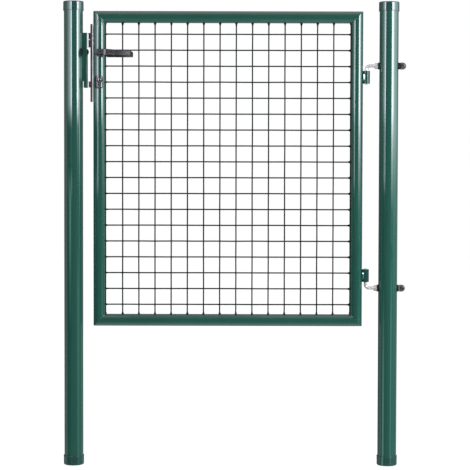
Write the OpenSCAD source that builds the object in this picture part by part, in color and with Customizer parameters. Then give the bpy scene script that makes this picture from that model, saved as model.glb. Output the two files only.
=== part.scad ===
// Round-tube garden gate: a mesh leaf hung between two capped posts, with a lever lock.
// Millimetres, +Z up. The origin is the centre of the hinge post's foot. The leaf lies along
// -X from there, its two faces look along -Y (front) and +Y (rear), and it opens towards +Y.

/* [Posts] */
// Outside diameter of a post tube
post_d = 60; // [50:1:70]
// Wall thickness of a post tube
post_wall = 1.5; // [1.2:0.1:3]
// Height of a post, from the foot of its lower cap to the top of its upper cap
post_h = 1475; // [1470:5:1900]
// Height of a push-on post cap
cap_h = 30; // [20:1:45]
// Wall thickness of a post cap's skirt
cap_wall = 2.75; // [1.5:0.25:4]
// Thickness of a post cap's closed end
cap_end = 3; // [2:0.5:5]
// Rounding of a post cap's outer edge
cap_round = 3; // [1:0.5:4]

/* [Leaf frame] */
// Outside width of the leaf
leaf_w = 855; // [800:5:1200]
// Outside height of the leaf
leaf_h = 1000; // [960:5:1020]
// Height of the leaf's lower edge over the foot of the posts
leaf_lift = 444; // [430:1:450]
// Outside diameter of the leaf's frame tube
tube_d = 38; // [36:1:40]
// Wall thickness of the leaf's frame tube
tube_wall = 1.5; // [1:0.1:2]
// Clear gap between the hinge post and the leaf
hinge_gap = 52; // [50:1:60]
// Clear gap between the leaf and the latch post
latch_gap = 33; // [30:1:38]

/* [Mesh] */
// Wire diameter
wire_d = 4; // [2.8:0.1:4.4]
// Upright wires
wire_columns = 14; // [10:1:16]
// Distance of the first and last upright wires from the stiles
column_margin = 55; // [40:0.5:60]
// How far the axis of the mesh's own edge wires stands off the stiles they are welded to
edge_wire_off = 0.5; // [0:0.1:1.5]
// Level wires
wire_rows = 18; // [12:1:18]
// Spacing of the level wires
row_pitch = 50.5; // [48:0.5:51]
// Height of the lowest level wire over the bottom rail
row_margin = 30.5; // [25:0.5:40]

/* [Hinges] */
// Diameter of the hinge bolt's rod and pin
rod_d = 10; // [8:1:11]
// Bend radius of the hinge bolt, to the middle of the rod
bend_r = 12; // [11:0.5:14]
// Outside diameter of a hinge barrel
barrel_d = 22; // [20:1:22]
// Length of a hinge barrel
barrel_h = 40; // [36:1:42]
// Lower end of the upper hinge barrel
upper_barrel_z = 1216; // [1200:1:1225]
// Lower end of the lower hinge barrel
lower_barrel_z = 586; // [580:1:600]
// Height of the upper hinge bolt's rod
upper_rod_z = 1272; // [1270:1:1280]
// Height of the lower hinge bolt's rod
lower_rod_z = 566; // [560:1:568]
// Thickness of a saddle washer at the bolt
saddle_t = 5; // [4:0.5:8]
// Height of a saddle washer
saddle_h = 21; // [20:1:26]
// Half of a saddle washer's width around the post
saddle_half_w = 12; // [11:1:23]
// Outside diameter of a flat washer
washer_d = 20; // [18:1:22]
// Thickness of a flat washer
washer_t = 1.5; // [1:0.25:2.5]
// Width across the flats of a hinge nut
nut_af = 17; // [16:1:18]
// Thickness of a hinge nut
nut_t = 8; // [6:0.5:9]
// Width across the flats of a cap nut
cap_nut_af = 19.5; // [18:0.5:21]
// Length of a cap nut
cap_nut_h = 18.5; // [18:0.5:24]

/* [Lock] */
// Height of the lever's spindle
lever_z = 1310; // [1308:1:1312]
// Distance from the forend's face to the spindle
backset = 30; // [29:0.5:31]
// How far the forend stands out from the lock stile
forend_out = 8.5; // [7:0.5:9]
// Length of the forend
forend_h = 246; // [240:2:250]
// Width of the forend
forend_w = 20; // [20:1:28]
// Length of the lever over all
lever_len = 117; // [100:1:130]
// How far the lever reaches past its spindle, away from the grip
lever_back = 15; // [12:0.5:16]
// Height of the lever's grip
grip_h = 23.5; // [18:0.5:24]
// Thickness of the lever's grip
grip_t = 12; // [9:0.5:14]
// Diameter of the lever's neck
neck_d = 24; // [20:1:26]
// Side of the square spindle
spindle_side = 8; // [7:0.5:9]
// How far the latch bolt stands out from the forend
latch_out = 15.5; // [12:0.5:16]
// Thickness of the latch bolt
latch_t = 11; // [9:0.5:11]
// Thickness of the dead bolt
dead_t = 10; // [8:0.5:11]
// How far the dead bolt stands out when it is drawn back
dead_out = 6; // [3:0.5:6]
// Length of the profile cylinder
cylinder_len = 60; // [54:2:70]

/* [Strike] */
// How far the strike channel stands out from the latch post
strike_out = 14.5; // [12:0.5:15]
// Width of the strike channel
strike_w = 28; // [26:1:30]
// Sheet thickness of the strike channel
strike_t = 2; // [1.5:0.25:2.5]
// How far the latch tab stands out from the strike channel
tab_out = 4.8; // [3:0.1:5]
// Diameter of the strike bolt's head
strike_head_d = 18; // [14:1:18]

/* [Hidden] */

$fn = 64;
paint_color = "#1f5a4a";
zinc_color = "#c9ccd0";
black_color = "#26272b";
chrome_color = "#dcdde0";
reach = 400; // longer than any cut it is used for

// Places across the gate
leaf_right = -post_d / 2 - hinge_gap;
leaf_left = leaf_right - leaf_w;
leaf_top = leaf_lift + leaf_h;
hinge_stile_x = leaf_right - tube_d / 2;
lock_stile_x = leaf_left + tube_d / 2;
latch_post_x = leaf_left - latch_gap - post_d / 2;
pin_x = leaf_right + barrel_d / 2;
forend_x = leaf_left - forend_out;
spindle_x = forend_x + backset;
strike_x = latch_post_x + post_d / 2 + strike_out;

// Hinges
pin_clearance = 0.1;
pin_end = 3; // the pin's free end past its barrel
bolt_hole_clearance = 0.5;
weld_w = 9; // width of the weld between barrel and stile
weld_inset = 2;
washer_out = post_d / 2 + saddle_t; // where the saddle's flat seat is
cap_nut_straight = 7;
cap_nut_bore = 12;

// Lock
forend_t = 2;
forend_top = lever_z + 92;
spindle_to_cylinder = 85;
cylinder_z = lever_z - spindle_to_cylinder;
latch_bottom = lever_z + 19;
latch_h = 45;
latch_groove = 2.6;
latch_tail = 22;
case_w = 24; // across the leaf's faces
case_deep = 24;
case_wall = 1.2;
case_inset = 10; // from the forend's ends
window_w = 26; // cut in the stile round the cylinder
window_h = 44;
dead_bottom = cylinder_z - 23;
dead_h = 19;
dead_tail = 17;
slide_clearance = 0.3;
collar_d = 16;
collar_deep = 5; // reach of the collar into the stile
neck_gap = 2; // between the neck and the lock stile
lever_out = 29; // from the stile's front to the grip's face
cylinder_r = 8.5;
cylinder_web_r = 5;
cylinder_drop = 19.5; // from the plug's axis to the web's round end
cylinder_middle = (cylinder_r + cylinder_drop + cylinder_web_r) / 2; // from its top
plug_r = 6.5;
plug_clearance = 0.05;
plug_proud = 0.6;
key_w = 2.6;
key_h = 8.5;
key_deep = 6;

// Strike
strike_h = 173;
strike_bottom = dead_bottom - 1;
strike_open = 5.5; // room left round the bolts
strike_relief = 3.5; // between the flanges' lower ends and the post
strike_relief_h = 21;
strike_bolt_z = lever_z + 4;
strike_bolt_r = 4;
strike_head_out = 4.5;
strike_saddle_t = 4;
strike_saddle_half_w = 23;
strike_saddle_h = 22;

// ---- shapes that repeat ----

module along_x() { rotate([0, 90, 0]) children(); }

module along_y() { rotate([-90, 0, 0]) children(); }

module tube(d, wall, len) {
    difference() {
        cylinder(d = d, h = len);
        translate([0, 0, -1]) cylinder(d = d - 2 * wall, h = len + 2);
    }
}

// What a 45 degree mitre takes off the lower end of an upright member
module mitre_waste() {
    translate([-tube_d / 2, 0, 0]) rotate([0, -45, 0])
        translate([-tube_d, -tube_d, -2 * tube_d]) cube([4 * tube_d, 2 * tube_d, 2 * tube_d]);
}

// Upright frame member with the opening on its +X side
module mitred_tube(len) {
    difference() {
        tube(tube_d, tube_wall, len);
        mitre_waste();
        translate([0, 0, len]) mirror([0, 0, 1]) mitre_waste();
    }
}

module post_tube() {
    translate([0, 0, cap_end]) tube(post_d, post_wall, post_h - 2 * cap_end);
}

// Cap with its closed end down
module post_cap() {
    outer_r = post_d / 2 + cap_wall;
    rotate_extrude() difference() {
        union() {
            square([outer_r - cap_round, cap_h]);
            translate([0, cap_round]) square([outer_r, cap_h - cap_round]);
            translate([outer_r - cap_round, cap_round]) circle(r = cap_round);
        }
        translate([0, cap_end]) square([post_d / 2, cap_h]);
    }
}

module post_top_cap() { translate([0, 0, post_h]) mirror([0, 0, 1]) post_cap(); }

// L-shaped bolt about the hinge post: rod at z = 0, pin pointing down
module hinge_bolt(pin_len) {
    rod_from = pin_x + bend_r;
    rod_to = washer_out + washer_t + cap_nut_bore;
    translate([rod_from, 0, 0]) along_x() cylinder(d = rod_d, h = rod_to - rod_from);
    translate([rod_from, 0, -bend_r]) mirror([1, 0, 0]) rotate([90, 0, 0])
        rotate_extrude(angle = 90) translate([bend_r, 0]) circle(d = rod_d);
    translate([pin_x, 0, -bend_r - pin_len]) cylinder(d = rod_d, h = pin_len);
}

// Washer that seats a flat nut on a round post, on the post's +X side
module saddle(seat_t, wing_t, half_w, height, bolt_r) {
    difference() {
        union() {
            intersection() {
                translate([0, 0, -height / 2]) cylinder(r = post_d / 2 + wing_t, h = height);
                translate([0, -half_w, -height / 2]) cube([post_d, 2 * half_w, height]);
            }
            along_x() cylinder(d = height, h = post_d / 2 + seat_t);
        }
        translate([0, 0, -height]) cylinder(d = post_d, h = 2 * height);
        along_x() cylinder(r = bolt_r, h = post_d);
    }
}

module hinge_saddle() { saddle(saddle_t, saddle_t - 1.5, saddle_half_w, saddle_h, rod_d / 2); }

module flat_washer() {
    translate([washer_out, 0, 0]) along_x() difference() {
        cylinder(d = washer_d, h = washer_t);
        translate([0, 0, -1]) cylinder(d = rod_d, h = washer_t + 2);
    }
}

module hex_prism(af, len) { cylinder(d = af / cos(30), h = len, $fn = 6); }

module hinge_nut() {
    translate([washer_out + washer_t, 0, 0]) along_x() difference() {
        hex_prism(nut_af, nut_t);
        translate([0, 0, -1]) cylinder(d = rod_d, h = nut_t + 2);
    }
}

// Hexagonal cap nut whose dome is an arc swung about the bolt
module cap_nut() {
    corner_r = cap_nut_af / cos(30) / 2;
    dome_h = cap_nut_h - cap_nut_straight;
    arc_in = (dome_h * dome_h - corner_r * corner_r) / (2 * corner_r);
    translate([washer_out + washer_t, 0, 0]) along_x() difference() {
        intersection() {
            hex_prism(cap_nut_af, cap_nut_h);
            rotate_extrude() {
                square([corner_r, cap_nut_straight]);
                intersection() {
                    translate([-arc_in, cap_nut_straight]) circle(r = arc_in + corner_r);
                    translate([0, cap_nut_straight]) square([corner_r, dome_h]);
                }
            }
        }
        translate([0, 0, -1]) cylinder(d = rod_d, h = cap_nut_bore + 1);
    }
}

// Barrel and its weld, standing on z = 0
module hinge_barrel() {
    difference() {
        union() {
            translate([pin_x, 0, 0]) cylinder(d = barrel_d, h = barrel_h);
            translate([hinge_stile_x, -weld_w / 2, weld_inset])
                cube([pin_x - hinge_stile_x, weld_w, barrel_h - 2 * weld_inset]);
        }
        translate([pin_x, 0, -1]) cylinder(r = rod_d / 2 + pin_clearance, h = barrel_h + 2);
        translate([hinge_stile_x, 0, -1]) cylinder(d = tube_d, h = barrel_h + 2);
    }
}

// Outline of the profile cylinder, swept through the stile
module cylinder_profile(len, spare) {
    along_y() translate([0, 0, -len / 2]) {
        cylinder(r = cylinder_r + spare, h = len);
        translate([-cylinder_web_r - spare, 0, 0]) cube([2 * (cylinder_web_r + spare), cylinder_drop, len]);
        translate([0, cylinder_drop, 0]) cylinder(r = cylinder_web_r + spare, h = len);
    }
}

// Neck on the lever's axis, on the -Y side, with the collar that turns in the stile
module lever_neck() {
    back = -tube_d / 2 - neck_gap;
    front = grip_back();
    difference() {
        union() {
            translate([0, front, 0]) along_y() cylinder(d = neck_d, h = back - front);
            translate([0, back, 0]) along_y() cylinder(d = collar_d, h = neck_gap + collar_deep);
        }
        spindle();
    }
}

// Where the grip's rear face meets the neck
function grip_back() = -tube_d / 2 - lever_out + grip_t;

// Flat bar with its outer top corner and its inner lower corner cut
module lever_grip() {
    tip = lever_len - lever_back;
    cut = grip_h / 4;
    translate([0, grip_back(), 0]) rotate([90, 0, 0]) linear_extrude(height = grip_t)
        polygon([[-lever_back + cut, -grip_h / 2], [tip, -grip_h / 2], [tip, grip_h / 2 - cut],
            [tip - cut, grip_h / 2], [-lever_back, grip_h / 2], [-lever_back, -grip_h / 2 + cut]]);
}

module spindle() {
    len = -2 * grip_back();
    translate([-spindle_side / 2, -len / 2, -spindle_side / 2]) cube([spindle_side, len, spindle_side]);
}

// Plan of a channel that opens towards +X: base at x = 0
module channel_plan(w, t, deep) {
    difference() {
        translate([0, -w / 2]) square([deep, w]);
        translate([t, -w / 2 + t]) square([deep, w - 2 * t]);
    }
}

// ---- posts ----

module hinge_post() {
    color(paint_color) difference() {
        post_tube();
        for (z = [upper_rod_z, lower_rod_z])
            translate([-post_d, 0, z]) along_x()
                cylinder(r = rod_d / 2 + bolt_hole_clearance, h = 2 * post_d);
    }
}

module latch_post() {
    color(paint_color) translate([latch_post_x, 0, 0]) difference() {
        post_tube();
        translate([0, 0, strike_bolt_z]) along_x() cylinder(r = strike_bolt_r, h = post_d);
    }
}

module hinge_post_top_cap() { color(paint_color) post_top_cap(); }
module hinge_post_foot_cap() { color(paint_color) post_cap(); }
module latch_post_top_cap() { color(paint_color) translate([latch_post_x, 0, 0]) post_top_cap(); }
module latch_post_foot_cap() { color(paint_color) translate([latch_post_x, 0, 0]) post_cap(); }

// ---- hinge hardware ----

module upper_hinge_bolt() {
    pin_len = upper_rod_z - bend_r - upper_barrel_z + pin_end;
    color(zinc_color) translate([0, 0, upper_rod_z]) hinge_bolt(pin_len);
}

module lower_hinge_bolt() {
    pin_len = lower_barrel_z + barrel_h + pin_end - lower_rod_z - bend_r;
    color(zinc_color) translate([0, 0, lower_rod_z]) mirror([0, 0, 1]) hinge_bolt(pin_len);
}

// Puts a piece made for the post's outer side on its inner side, at the height z
module inner_side(z) { translate([0, 0, z]) mirror([1, 0, 0]) children(); }

module outer_side(z) { translate([0, 0, z]) children(); }

module upper_hinge_nut() { color(zinc_color) inner_side(upper_rod_z) hinge_nut(); }
module lower_hinge_nut() { color(zinc_color) inner_side(lower_rod_z) hinge_nut(); }
module upper_inner_washer() { color(zinc_color) inner_side(upper_rod_z) flat_washer(); }
module lower_inner_washer() { color(zinc_color) inner_side(lower_rod_z) flat_washer(); }
module upper_inner_saddle() { color(black_color) inner_side(upper_rod_z) hinge_saddle(); }
module lower_inner_saddle() { color(black_color) inner_side(lower_rod_z) hinge_saddle(); }
module upper_outer_saddle() { color(black_color) outer_side(upper_rod_z) hinge_saddle(); }
module lower_outer_saddle() { color(black_color) outer_side(lower_rod_z) hinge_saddle(); }
module upper_outer_washer() { color(zinc_color) outer_side(upper_rod_z) flat_washer(); }
module lower_outer_washer() { color(zinc_color) outer_side(lower_rod_z) flat_washer(); }
module upper_cap_nut() { color(black_color) outer_side(upper_rod_z) cap_nut(); }
module lower_cap_nut() { color(black_color) outer_side(lower_rod_z) cap_nut(); }

// ---- strike ----

// The channel keeps its front flange beside the latch, and opens to the rear there. Its
// flanges stop short of the post at the lower end.
module strike_channel() {
    latch_cut = latch_bottom - strike_open;
    dead_cut = dead_bottom + dead_h + strike_open;
    inner_w = strike_w - 2 * strike_t;
    color(paint_color) difference() {
        translate([strike_x, 0, strike_bottom]) mirror([1, 0, 0])
            linear_extrude(height = strike_h) channel_plan(strike_w, strike_t, strike_out + post_d / 4);
        translate([latch_post_x, 0, 0]) cylinder(d = post_d, h = post_h);
        translate([latch_post_x, 0, strike_bolt_z - strike_saddle_h / 2])
            cylinder(r = post_d / 2 + strike_saddle_t, h = strike_saddle_h);
        translate([latch_post_x, -inner_w / 2, latch_cut]) cube([post_d, strike_w, strike_h]);
        translate([latch_post_x, -inner_w / 2, 0]) cube([post_d, inner_w, dead_cut]);
        translate([latch_post_x, -strike_w, strike_bottom - 1])
            cube([post_d / 2 + strike_relief, 2 * strike_w, strike_relief_h + 1]);
        translate([latch_post_x, 0, strike_bolt_z]) along_x() cylinder(r = strike_bolt_r, h = post_d);
    }
}

// Bare plate inside the front flange, which the latch rests behind
module strike_tab() {
    tab_t = 1.5;
    tab_bottom = latch_bottom - 2;
    color(zinc_color) translate([strike_x - strike_out + 4, -strike_w / 2 + strike_t, tab_bottom])
        cube([strike_out - 4 + tab_out, tab_t, strike_bottom + strike_h - tab_bottom]);
}

module strike_saddle() {
    color(black_color) translate([latch_post_x, 0, strike_bolt_z])
        saddle(strike_saddle_t, strike_saddle_t, strike_saddle_half_w, strike_saddle_h, strike_bolt_r);
}

// Round-headed bolt, its head on the strike channel's face
module strike_bolt() {
    head_r = strike_head_d / 2;
    ball_r = (head_r * head_r + strike_head_out * strike_head_out) / (2 * strike_head_out);
    color(black_color) translate([strike_x, 0, strike_bolt_z]) along_x() {
        translate([0, 0, -strike_out - 5]) cylinder(r = strike_bolt_r, h = strike_out + 5);
        intersection() {
            translate([0, 0, strike_head_out - ball_r]) sphere(r = ball_r);
            cylinder(r = head_r, h = strike_head_out);
        }
    }
}

// ---- leaf ----

module lock_stile() {
    slot_w = 15;
    slot_inset = 8;
    window_z = cylinder_z + cylinder_r - cylinder_middle - window_h / 2;
    color(paint_color) difference() {
        translate([lock_stile_x, 0, leaf_lift]) mitred_tube(leaf_h);
        translate([leaf_left - 1, -slot_w / 2, forend_top - forend_h + slot_inset])
            cube([tube_d / 4, slot_w, forend_h - 2 * slot_inset]);
        translate([spindle_x, -tube_d, lever_z]) along_y() cylinder(d = collar_d + 2, h = 2 * tube_d);
        translate([lock_stile_x - window_w / 2, -tube_d, window_z]) cube([window_w, 2 * tube_d, window_h]);
    }
}

module hinge_stile() {
    color(paint_color) translate([hinge_stile_x, 0, leaf_lift]) mirror([1, 0, 0]) mitred_tube(leaf_h);
}

module bottom_rail() {
    color(paint_color) translate([leaf_left, 0, leaf_lift + tube_d / 2])
        mirror([1, 0, -1]) mitred_tube(leaf_w);
}

module top_rail() {
    color(paint_color) translate([leaf_left, 0, leaf_top - tube_d / 2])
        mirror([0, 0, 1]) mirror([1, 0, -1]) mitred_tube(leaf_w);
}

// Welded wires: uprights in front, level wires behind, pressed into each other where they cross
module mesh_panel() {
    in_w = leaf_w - 2 * tube_d;
    in_h = leaf_h - 2 * tube_d;
    column_pitch = (in_w - 2 * column_margin) / (wire_columns - 1);
    first_row = leaf_lift + tube_d + row_margin;
    bite = wire_d * 0.8;
    into = 2; // how far a wire's end reaches into the curve of the tube before it is trimmed
    color(paint_color) difference() {
        union() {
            for (i = [0 : wire_columns - 1])
                translate([leaf_left + tube_d + column_margin + i * column_pitch, -bite / 2,
                    leaf_lift + tube_d - into]) cylinder(d = wire_d, h = in_h + 2 * into, $fn = 6);
            for (x = [leaf_left + tube_d + edge_wire_off, leaf_left + leaf_w - tube_d - edge_wire_off])
                translate([x, -bite / 2, leaf_lift + tube_d - into])
                    cylinder(d = wire_d, h = in_h + 2 * into, $fn = 6);
            for (i = [0 : wire_rows - 1])
                translate([leaf_left + tube_d - into, bite / 2, first_row + i * row_pitch])
                    along_x() cylinder(d = wire_d, h = in_w + 2 * into, $fn = 6);
        }
        for (x = [lock_stile_x, hinge_stile_x])
            translate([x, 0, leaf_lift]) cylinder(d = tube_d, h = leaf_h);
        for (z = [leaf_lift + tube_d / 2, leaf_top - tube_d / 2])
            translate([leaf_left, 0, z]) along_x() cylinder(d = tube_d, h = leaf_w);
    }
}

module upper_hinge_barrel() { color(paint_color) translate([0, 0, upper_barrel_z]) hinge_barrel(); }
module lower_hinge_barrel() { color(paint_color) translate([0, 0, lower_barrel_z]) hinge_barrel(); }

// ---- lock ----

module lock_forend() {
    color(zinc_color) difference() {
        translate([forend_x, 0, forend_top - forend_h])
            linear_extrude(height = forend_h) channel_plan(forend_w, forend_t, tube_d / 2);
        translate([lock_stile_x, 0, 0]) cylinder(d = tube_d, h = leaf_top);
        translate([forend_x - 1, -latch_t / 2 - slide_clearance, latch_bottom - slide_clearance])
            cube([forend_t + 2, latch_t + 2 * slide_clearance, latch_h + 2 * slide_clearance]);
        translate([forend_x - 1, -dead_t / 2 - slide_clearance, dead_bottom - slide_clearance])
            cube([forend_t + 2, dead_t + 2 * slide_clearance, dead_h + 2 * slide_clearance]);
    }
}

// Sheet box inside the stile, open towards the forend, that shows round the cylinder
module lock_case() {
    bottom = forend_top - forend_h + case_inset;
    height = forend_h - 2 * case_inset;
    left = lock_stile_x - case_deep / 2;
    color(zinc_color) difference() {
        translate([left, -case_w / 2, bottom]) cube([case_deep, case_w, height]);
        translate([left - 1, -case_w / 2 + case_wall, bottom + case_wall])
            cube([case_deep + 1 - case_wall, case_w - 2 * case_wall, height - 2 * case_wall]);
        translate([spindle_x, -tube_d, lever_z]) along_y() cylinder(d = collar_d + 2, h = 2 * tube_d);
        translate([spindle_x, 0, cylinder_z]) cylinder_profile(2 * tube_d, slide_clearance);
    }
}

module lock_cylinder() {
    color(chrome_color) translate([spindle_x, 0, cylinder_z]) difference() {
        cylinder_profile(cylinder_len, 0);
        translate([0, -cylinder_len, 0]) along_y()
            cylinder(r = plug_r + plug_clearance, h = 2 * cylinder_len);
    }
}

module cylinder_plug() {
    len = cylinder_len + 2 * plug_proud;
    color(chrome_color) translate([spindle_x, 0, cylinder_z]) difference() {
        translate([0, -len / 2, 0]) along_y() cylinder(r = plug_r, h = len);
        for (side = [-1, 1])
            translate([-key_w / 2, side * len / 2 - key_deep, -key_h / 2]) cube([key_w, 2 * key_deep, key_h]);
    }
}

// Sprung bolt, bevelled on the side that meets the strike first, split by a groove
module latch_bolt() {
    tip = forend_x - latch_out;
    tail = forend_x + latch_tail;
    half = latch_t / 2;
    color(black_color) difference() {
        translate([0, 0, latch_bottom]) linear_extrude(height = latch_h)
            polygon([[tail, -half], [tail, half], [tip, half], [tip, half - 4], [tip + 9, -half]]);
        translate([tip - 1, -latch_t, latch_bottom + latch_h * 0.52])
            cube([latch_out - 2, 2 * latch_t, latch_groove]);
    }
}

module dead_bolt() {
    color(black_color) translate([forend_x - dead_out, -dead_t / 2, dead_bottom])
        cube([dead_out + dead_tail, dead_t, dead_h]);
}

// Puts a piece of the lever on the spindle's axis, on the front or, mirrored, on the rear
module at_spindle() { translate([spindle_x, 0, lever_z]) children(); }

module front_lever_neck() { color(black_color) at_spindle() lever_neck(); }
module front_lever_grip() { color(black_color) at_spindle() lever_grip(); }
module rear_lever_neck() { color(black_color) at_spindle() mirror([0, 1, 0]) lever_neck(); }
module rear_lever_grip() { color(black_color) at_spindle() mirror([0, 1, 0]) lever_grip(); }
module lever_spindle() { color(zinc_color) at_spindle() spindle(); }

hinge_post();
latch_post();
hinge_post_top_cap();
hinge_post_foot_cap();
latch_post_top_cap();
latch_post_foot_cap();
upper_hinge_bolt();
lower_hinge_bolt();
upper_hinge_nut();
lower_hinge_nut();
upper_inner_washer();
lower_inner_washer();
upper_inner_saddle();
lower_inner_saddle();
upper_outer_saddle();
lower_outer_saddle();
upper_outer_washer();
lower_outer_washer();
upper_cap_nut();
lower_cap_nut();
strike_channel();
strike_tab();
strike_saddle();
strike_bolt();
top_rail();
bottom_rail();
lock_stile();
hinge_stile();
mesh_panel();
upper_hinge_barrel();
lower_hinge_barrel();
lock_forend();
lock_case();
lock_cylinder();
front_lever_neck();
front_lever_grip();
rear_lever_neck();
rear_lever_grip();
lever_spindle();
latch_bolt();
dead_bolt();
cylinder_plug();
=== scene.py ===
import math
import random

import bmesh
import bpy
from mathutils import Matrix, Vector


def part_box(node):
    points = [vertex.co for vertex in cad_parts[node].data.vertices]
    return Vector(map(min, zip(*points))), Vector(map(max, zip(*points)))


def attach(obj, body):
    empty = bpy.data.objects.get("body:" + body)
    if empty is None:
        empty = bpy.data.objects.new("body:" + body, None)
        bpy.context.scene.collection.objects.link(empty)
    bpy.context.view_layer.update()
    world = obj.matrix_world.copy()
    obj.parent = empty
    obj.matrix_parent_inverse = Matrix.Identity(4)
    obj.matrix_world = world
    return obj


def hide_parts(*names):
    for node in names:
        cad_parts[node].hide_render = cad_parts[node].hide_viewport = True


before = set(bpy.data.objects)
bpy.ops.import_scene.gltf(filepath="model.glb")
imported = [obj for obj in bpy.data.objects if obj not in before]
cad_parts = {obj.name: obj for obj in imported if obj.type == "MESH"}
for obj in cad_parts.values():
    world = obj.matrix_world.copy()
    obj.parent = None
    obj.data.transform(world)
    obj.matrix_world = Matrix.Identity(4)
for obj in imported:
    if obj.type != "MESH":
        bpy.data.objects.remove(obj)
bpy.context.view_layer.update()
print("frame loaded:", len(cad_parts), "nodes")

mm = 0.001
scene = bpy.context.scene


def lengths(**inMillimetres):
    return {name: value * mm for name, value in inMillimetres.items()}


# places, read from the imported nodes

def middle(cadNode):
    low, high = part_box(cadNode)
    return (low + high) / 2


def size(cadNode):
    low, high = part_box(cadNode)
    return high - low


def spread(first, last, count):  # evenly spaced, with both ends
    return [first + (last - first) * i / count for i in range(count + 1)]


# mesh parts are pairs of a vertex list and a face list, joined into one piece at the end

def moved(part, matrix):
    verts, faces = part
    return [matrix @ Vector(v) for v in verts], faces


def shifted(part, x, y, z):
    return moved(part, Matrix.Translation((x, y, z)))


def alongX(part):  # a part made along +Z, laid along +X
    return moved(part, Matrix.Rotation(math.pi / 2, 4, "Y"))


def alongY(part):  # a part made along +Z, laid along +Y
    return moved(part, Matrix.Rotation(-math.pi / 2, 4, "X"))


def mirroredIn(part, axis):
    verts, faces = part
    scale = Vector([-1 if i == axis else 1 for i in range(3)])
    return [Vector(v) * scale for v in verts], [tuple(reversed(f)) for f in faces]


def joined(parts):
    verts, faces = [], []
    for partVerts, partFaces in parts:
        start = len(verts)
        verts += partVerts
        faces += [tuple(i + start for i in f) for f in partFaces]
    return verts, faces


def softened(points, steps=4, closed=False):
    # corners given as (a, b, rounding) become short curves
    made, count = [], len(points)
    for i, (a, b, rounding) in enumerate(points):
        here = Vector((a, b))
        if rounding <= 0 or (not closed and i in (0, count - 1)):
            made.append(here)
            continue
        before = Vector(points[i - 1][:2]) - here
        after = Vector(points[(i + 1) % count][:2]) - here
        reach = min(rounding, before.length * 0.49, after.length * 0.49)
        start, end = here + before.normalized() * reach, here + after.normalized() * reach
        for k in range(steps + 1):
            t = k / steps
            made.append(start * (1 - t) ** 2 + here * (2 * t * (1 - t)) + end * t ** 2)
    return made


def skinned(rings, loop=False, capped=True):
    # a skin over rings that have equally many points
    width = len(rings[0])
    starts = [k * width for k in range(len(rings))]
    faces = [(a + i, a + (i + 1) % width, b + (i + 1) % width, b + i)
             for a, b in zip(starts, starts[1:] + starts[:1] * loop) for i in range(width)]
    if capped:
        faces += [tuple(reversed(range(width))), tuple(range(starts[-1], starts[-1] + width))]
    return [Vector(v) for ring in rings for v in ring], faces


def turned(profile, sides=48, hexAcross=None, loop=False):
    # profile points are (radius, height); a hexagon across its flats cuts the radius
    verts, faces, rings = [], [], []
    for radius, height in profile:
        start = len(verts)
        if radius < 1e-7:
            verts.append(Vector((0, 0, height)))
            rings.append([start])
            continue
        for i in range(sides):
            turn = 2 * math.pi * i / sides
            r = radius
            if hexAcross:
                r = min(r, hexAcross / 2 / math.cos(turn % (math.pi / 3) - math.pi / 6))
            verts.append(Vector((r * math.cos(turn), r * math.sin(turn), height)))
        rings.append(list(range(start, start + sides)))
    for a, b in zip(rings, rings[1:] + rings[:1] * loop):
        for i in range(sides):
            j = (i + 1) % sides
            if len(a) == 1 and len(b) > 1:
                faces.append((a[0], b[j], b[i]))
            elif len(b) == 1 and len(a) > 1:
                faces.append((a[i], a[j], b[0]))
            elif len(a) > 1:
                faces.append((a[i], a[j], b[j], b[i]))
    return verts, faces


def rod(radius, low, high, sides):
    return turned([(0, low), (radius, low), (radius, high), (0, high)], sides)


def swept(path, radiusAt, sides=24):
    # a round bar along a path; radiusAt(distance, turn) lets threads and ripples in
    path = [Vector(p) for p in path]
    rings, travelled, side = [], 0, None
    for k, here in enumerate(path):
        ahead = (path[min(k + 1, len(path) - 1)] - path[max(k - 1, 0)]).normalized()
        if side is None:
            side = ahead.orthogonal().normalized()
        side = (side - ahead * side.dot(ahead)).normalized()
        other = ahead.cross(side)
        if k:
            travelled += (here - path[k - 1]).length
        ring = []
        for i in range(sides):
            turn = 2 * math.pi * i / sides
            r = radiusAt(travelled, turn)
            ring.append(here + side * (r * math.cos(turn)) + other * (r * math.sin(turn)))
        rings.append(ring)
    return skinned(rings)


def extruded(outline, low, high):
    count = len(outline)
    verts = [Vector((p[0], p[1], z)) for z in (low, high) for p in outline]
    faces = [tuple(reversed(range(count))), tuple(range(count, 2 * count))]
    faces += [(i, (i + 1) % count, (i + 1) % count + count, i + count) for i in range(count)]
    return verts, faces


def block(low, high):
    (x0, y0, z0), (x1, y1, z1) = low, high
    return extruded([(x0, y0), (x1, y0), (x1, y1), (x0, y1)], z0, z1)


def bead(path, radius, pitch, depth, sides=12):
    # a weld bead: a bar with overlapping ripples that tapers at both ends
    path = [Vector(p) for p in path]
    length = sum((b - a).length for a, b in zip(path, path[1:]))

    def radiusAt(travelled, turn):
        fromEnd = min(travelled, length - travelled) / (radius * 1.2)
        taper = math.sqrt(max(0.06, min(1, fromEnd)))
        wave = abs(math.sin(math.pi * (travelled / pitch + 0.12 * math.cos(turn))))
        return radius * taper * (1 - depth + depth * wave)
    return swept(path, radiusAt, sides)


def looseObject(name, part):
    verts, faces = part
    mesh = bpy.data.meshes.new(name)
    mesh.from_pydata([tuple(v) for v in verts], [], faces)
    work = bmesh.new()
    work.from_mesh(mesh)
    bmesh.ops.recalc_face_normals(work, faces=work.faces)
    work.to_mesh(mesh)
    work.free()
    obj = bpy.data.objects.new(name, mesh)
    scene.collection.objects.link(obj)
    return obj


def asPart(obj):  # an object back to a part, when it is one of several in a piece
    mesh = obj.data
    part = [v.co.copy() for v in mesh.vertices], [tuple(p.vertices) for p in mesh.polygons]
    bpy.data.meshes.remove(mesh)
    return part


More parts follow.
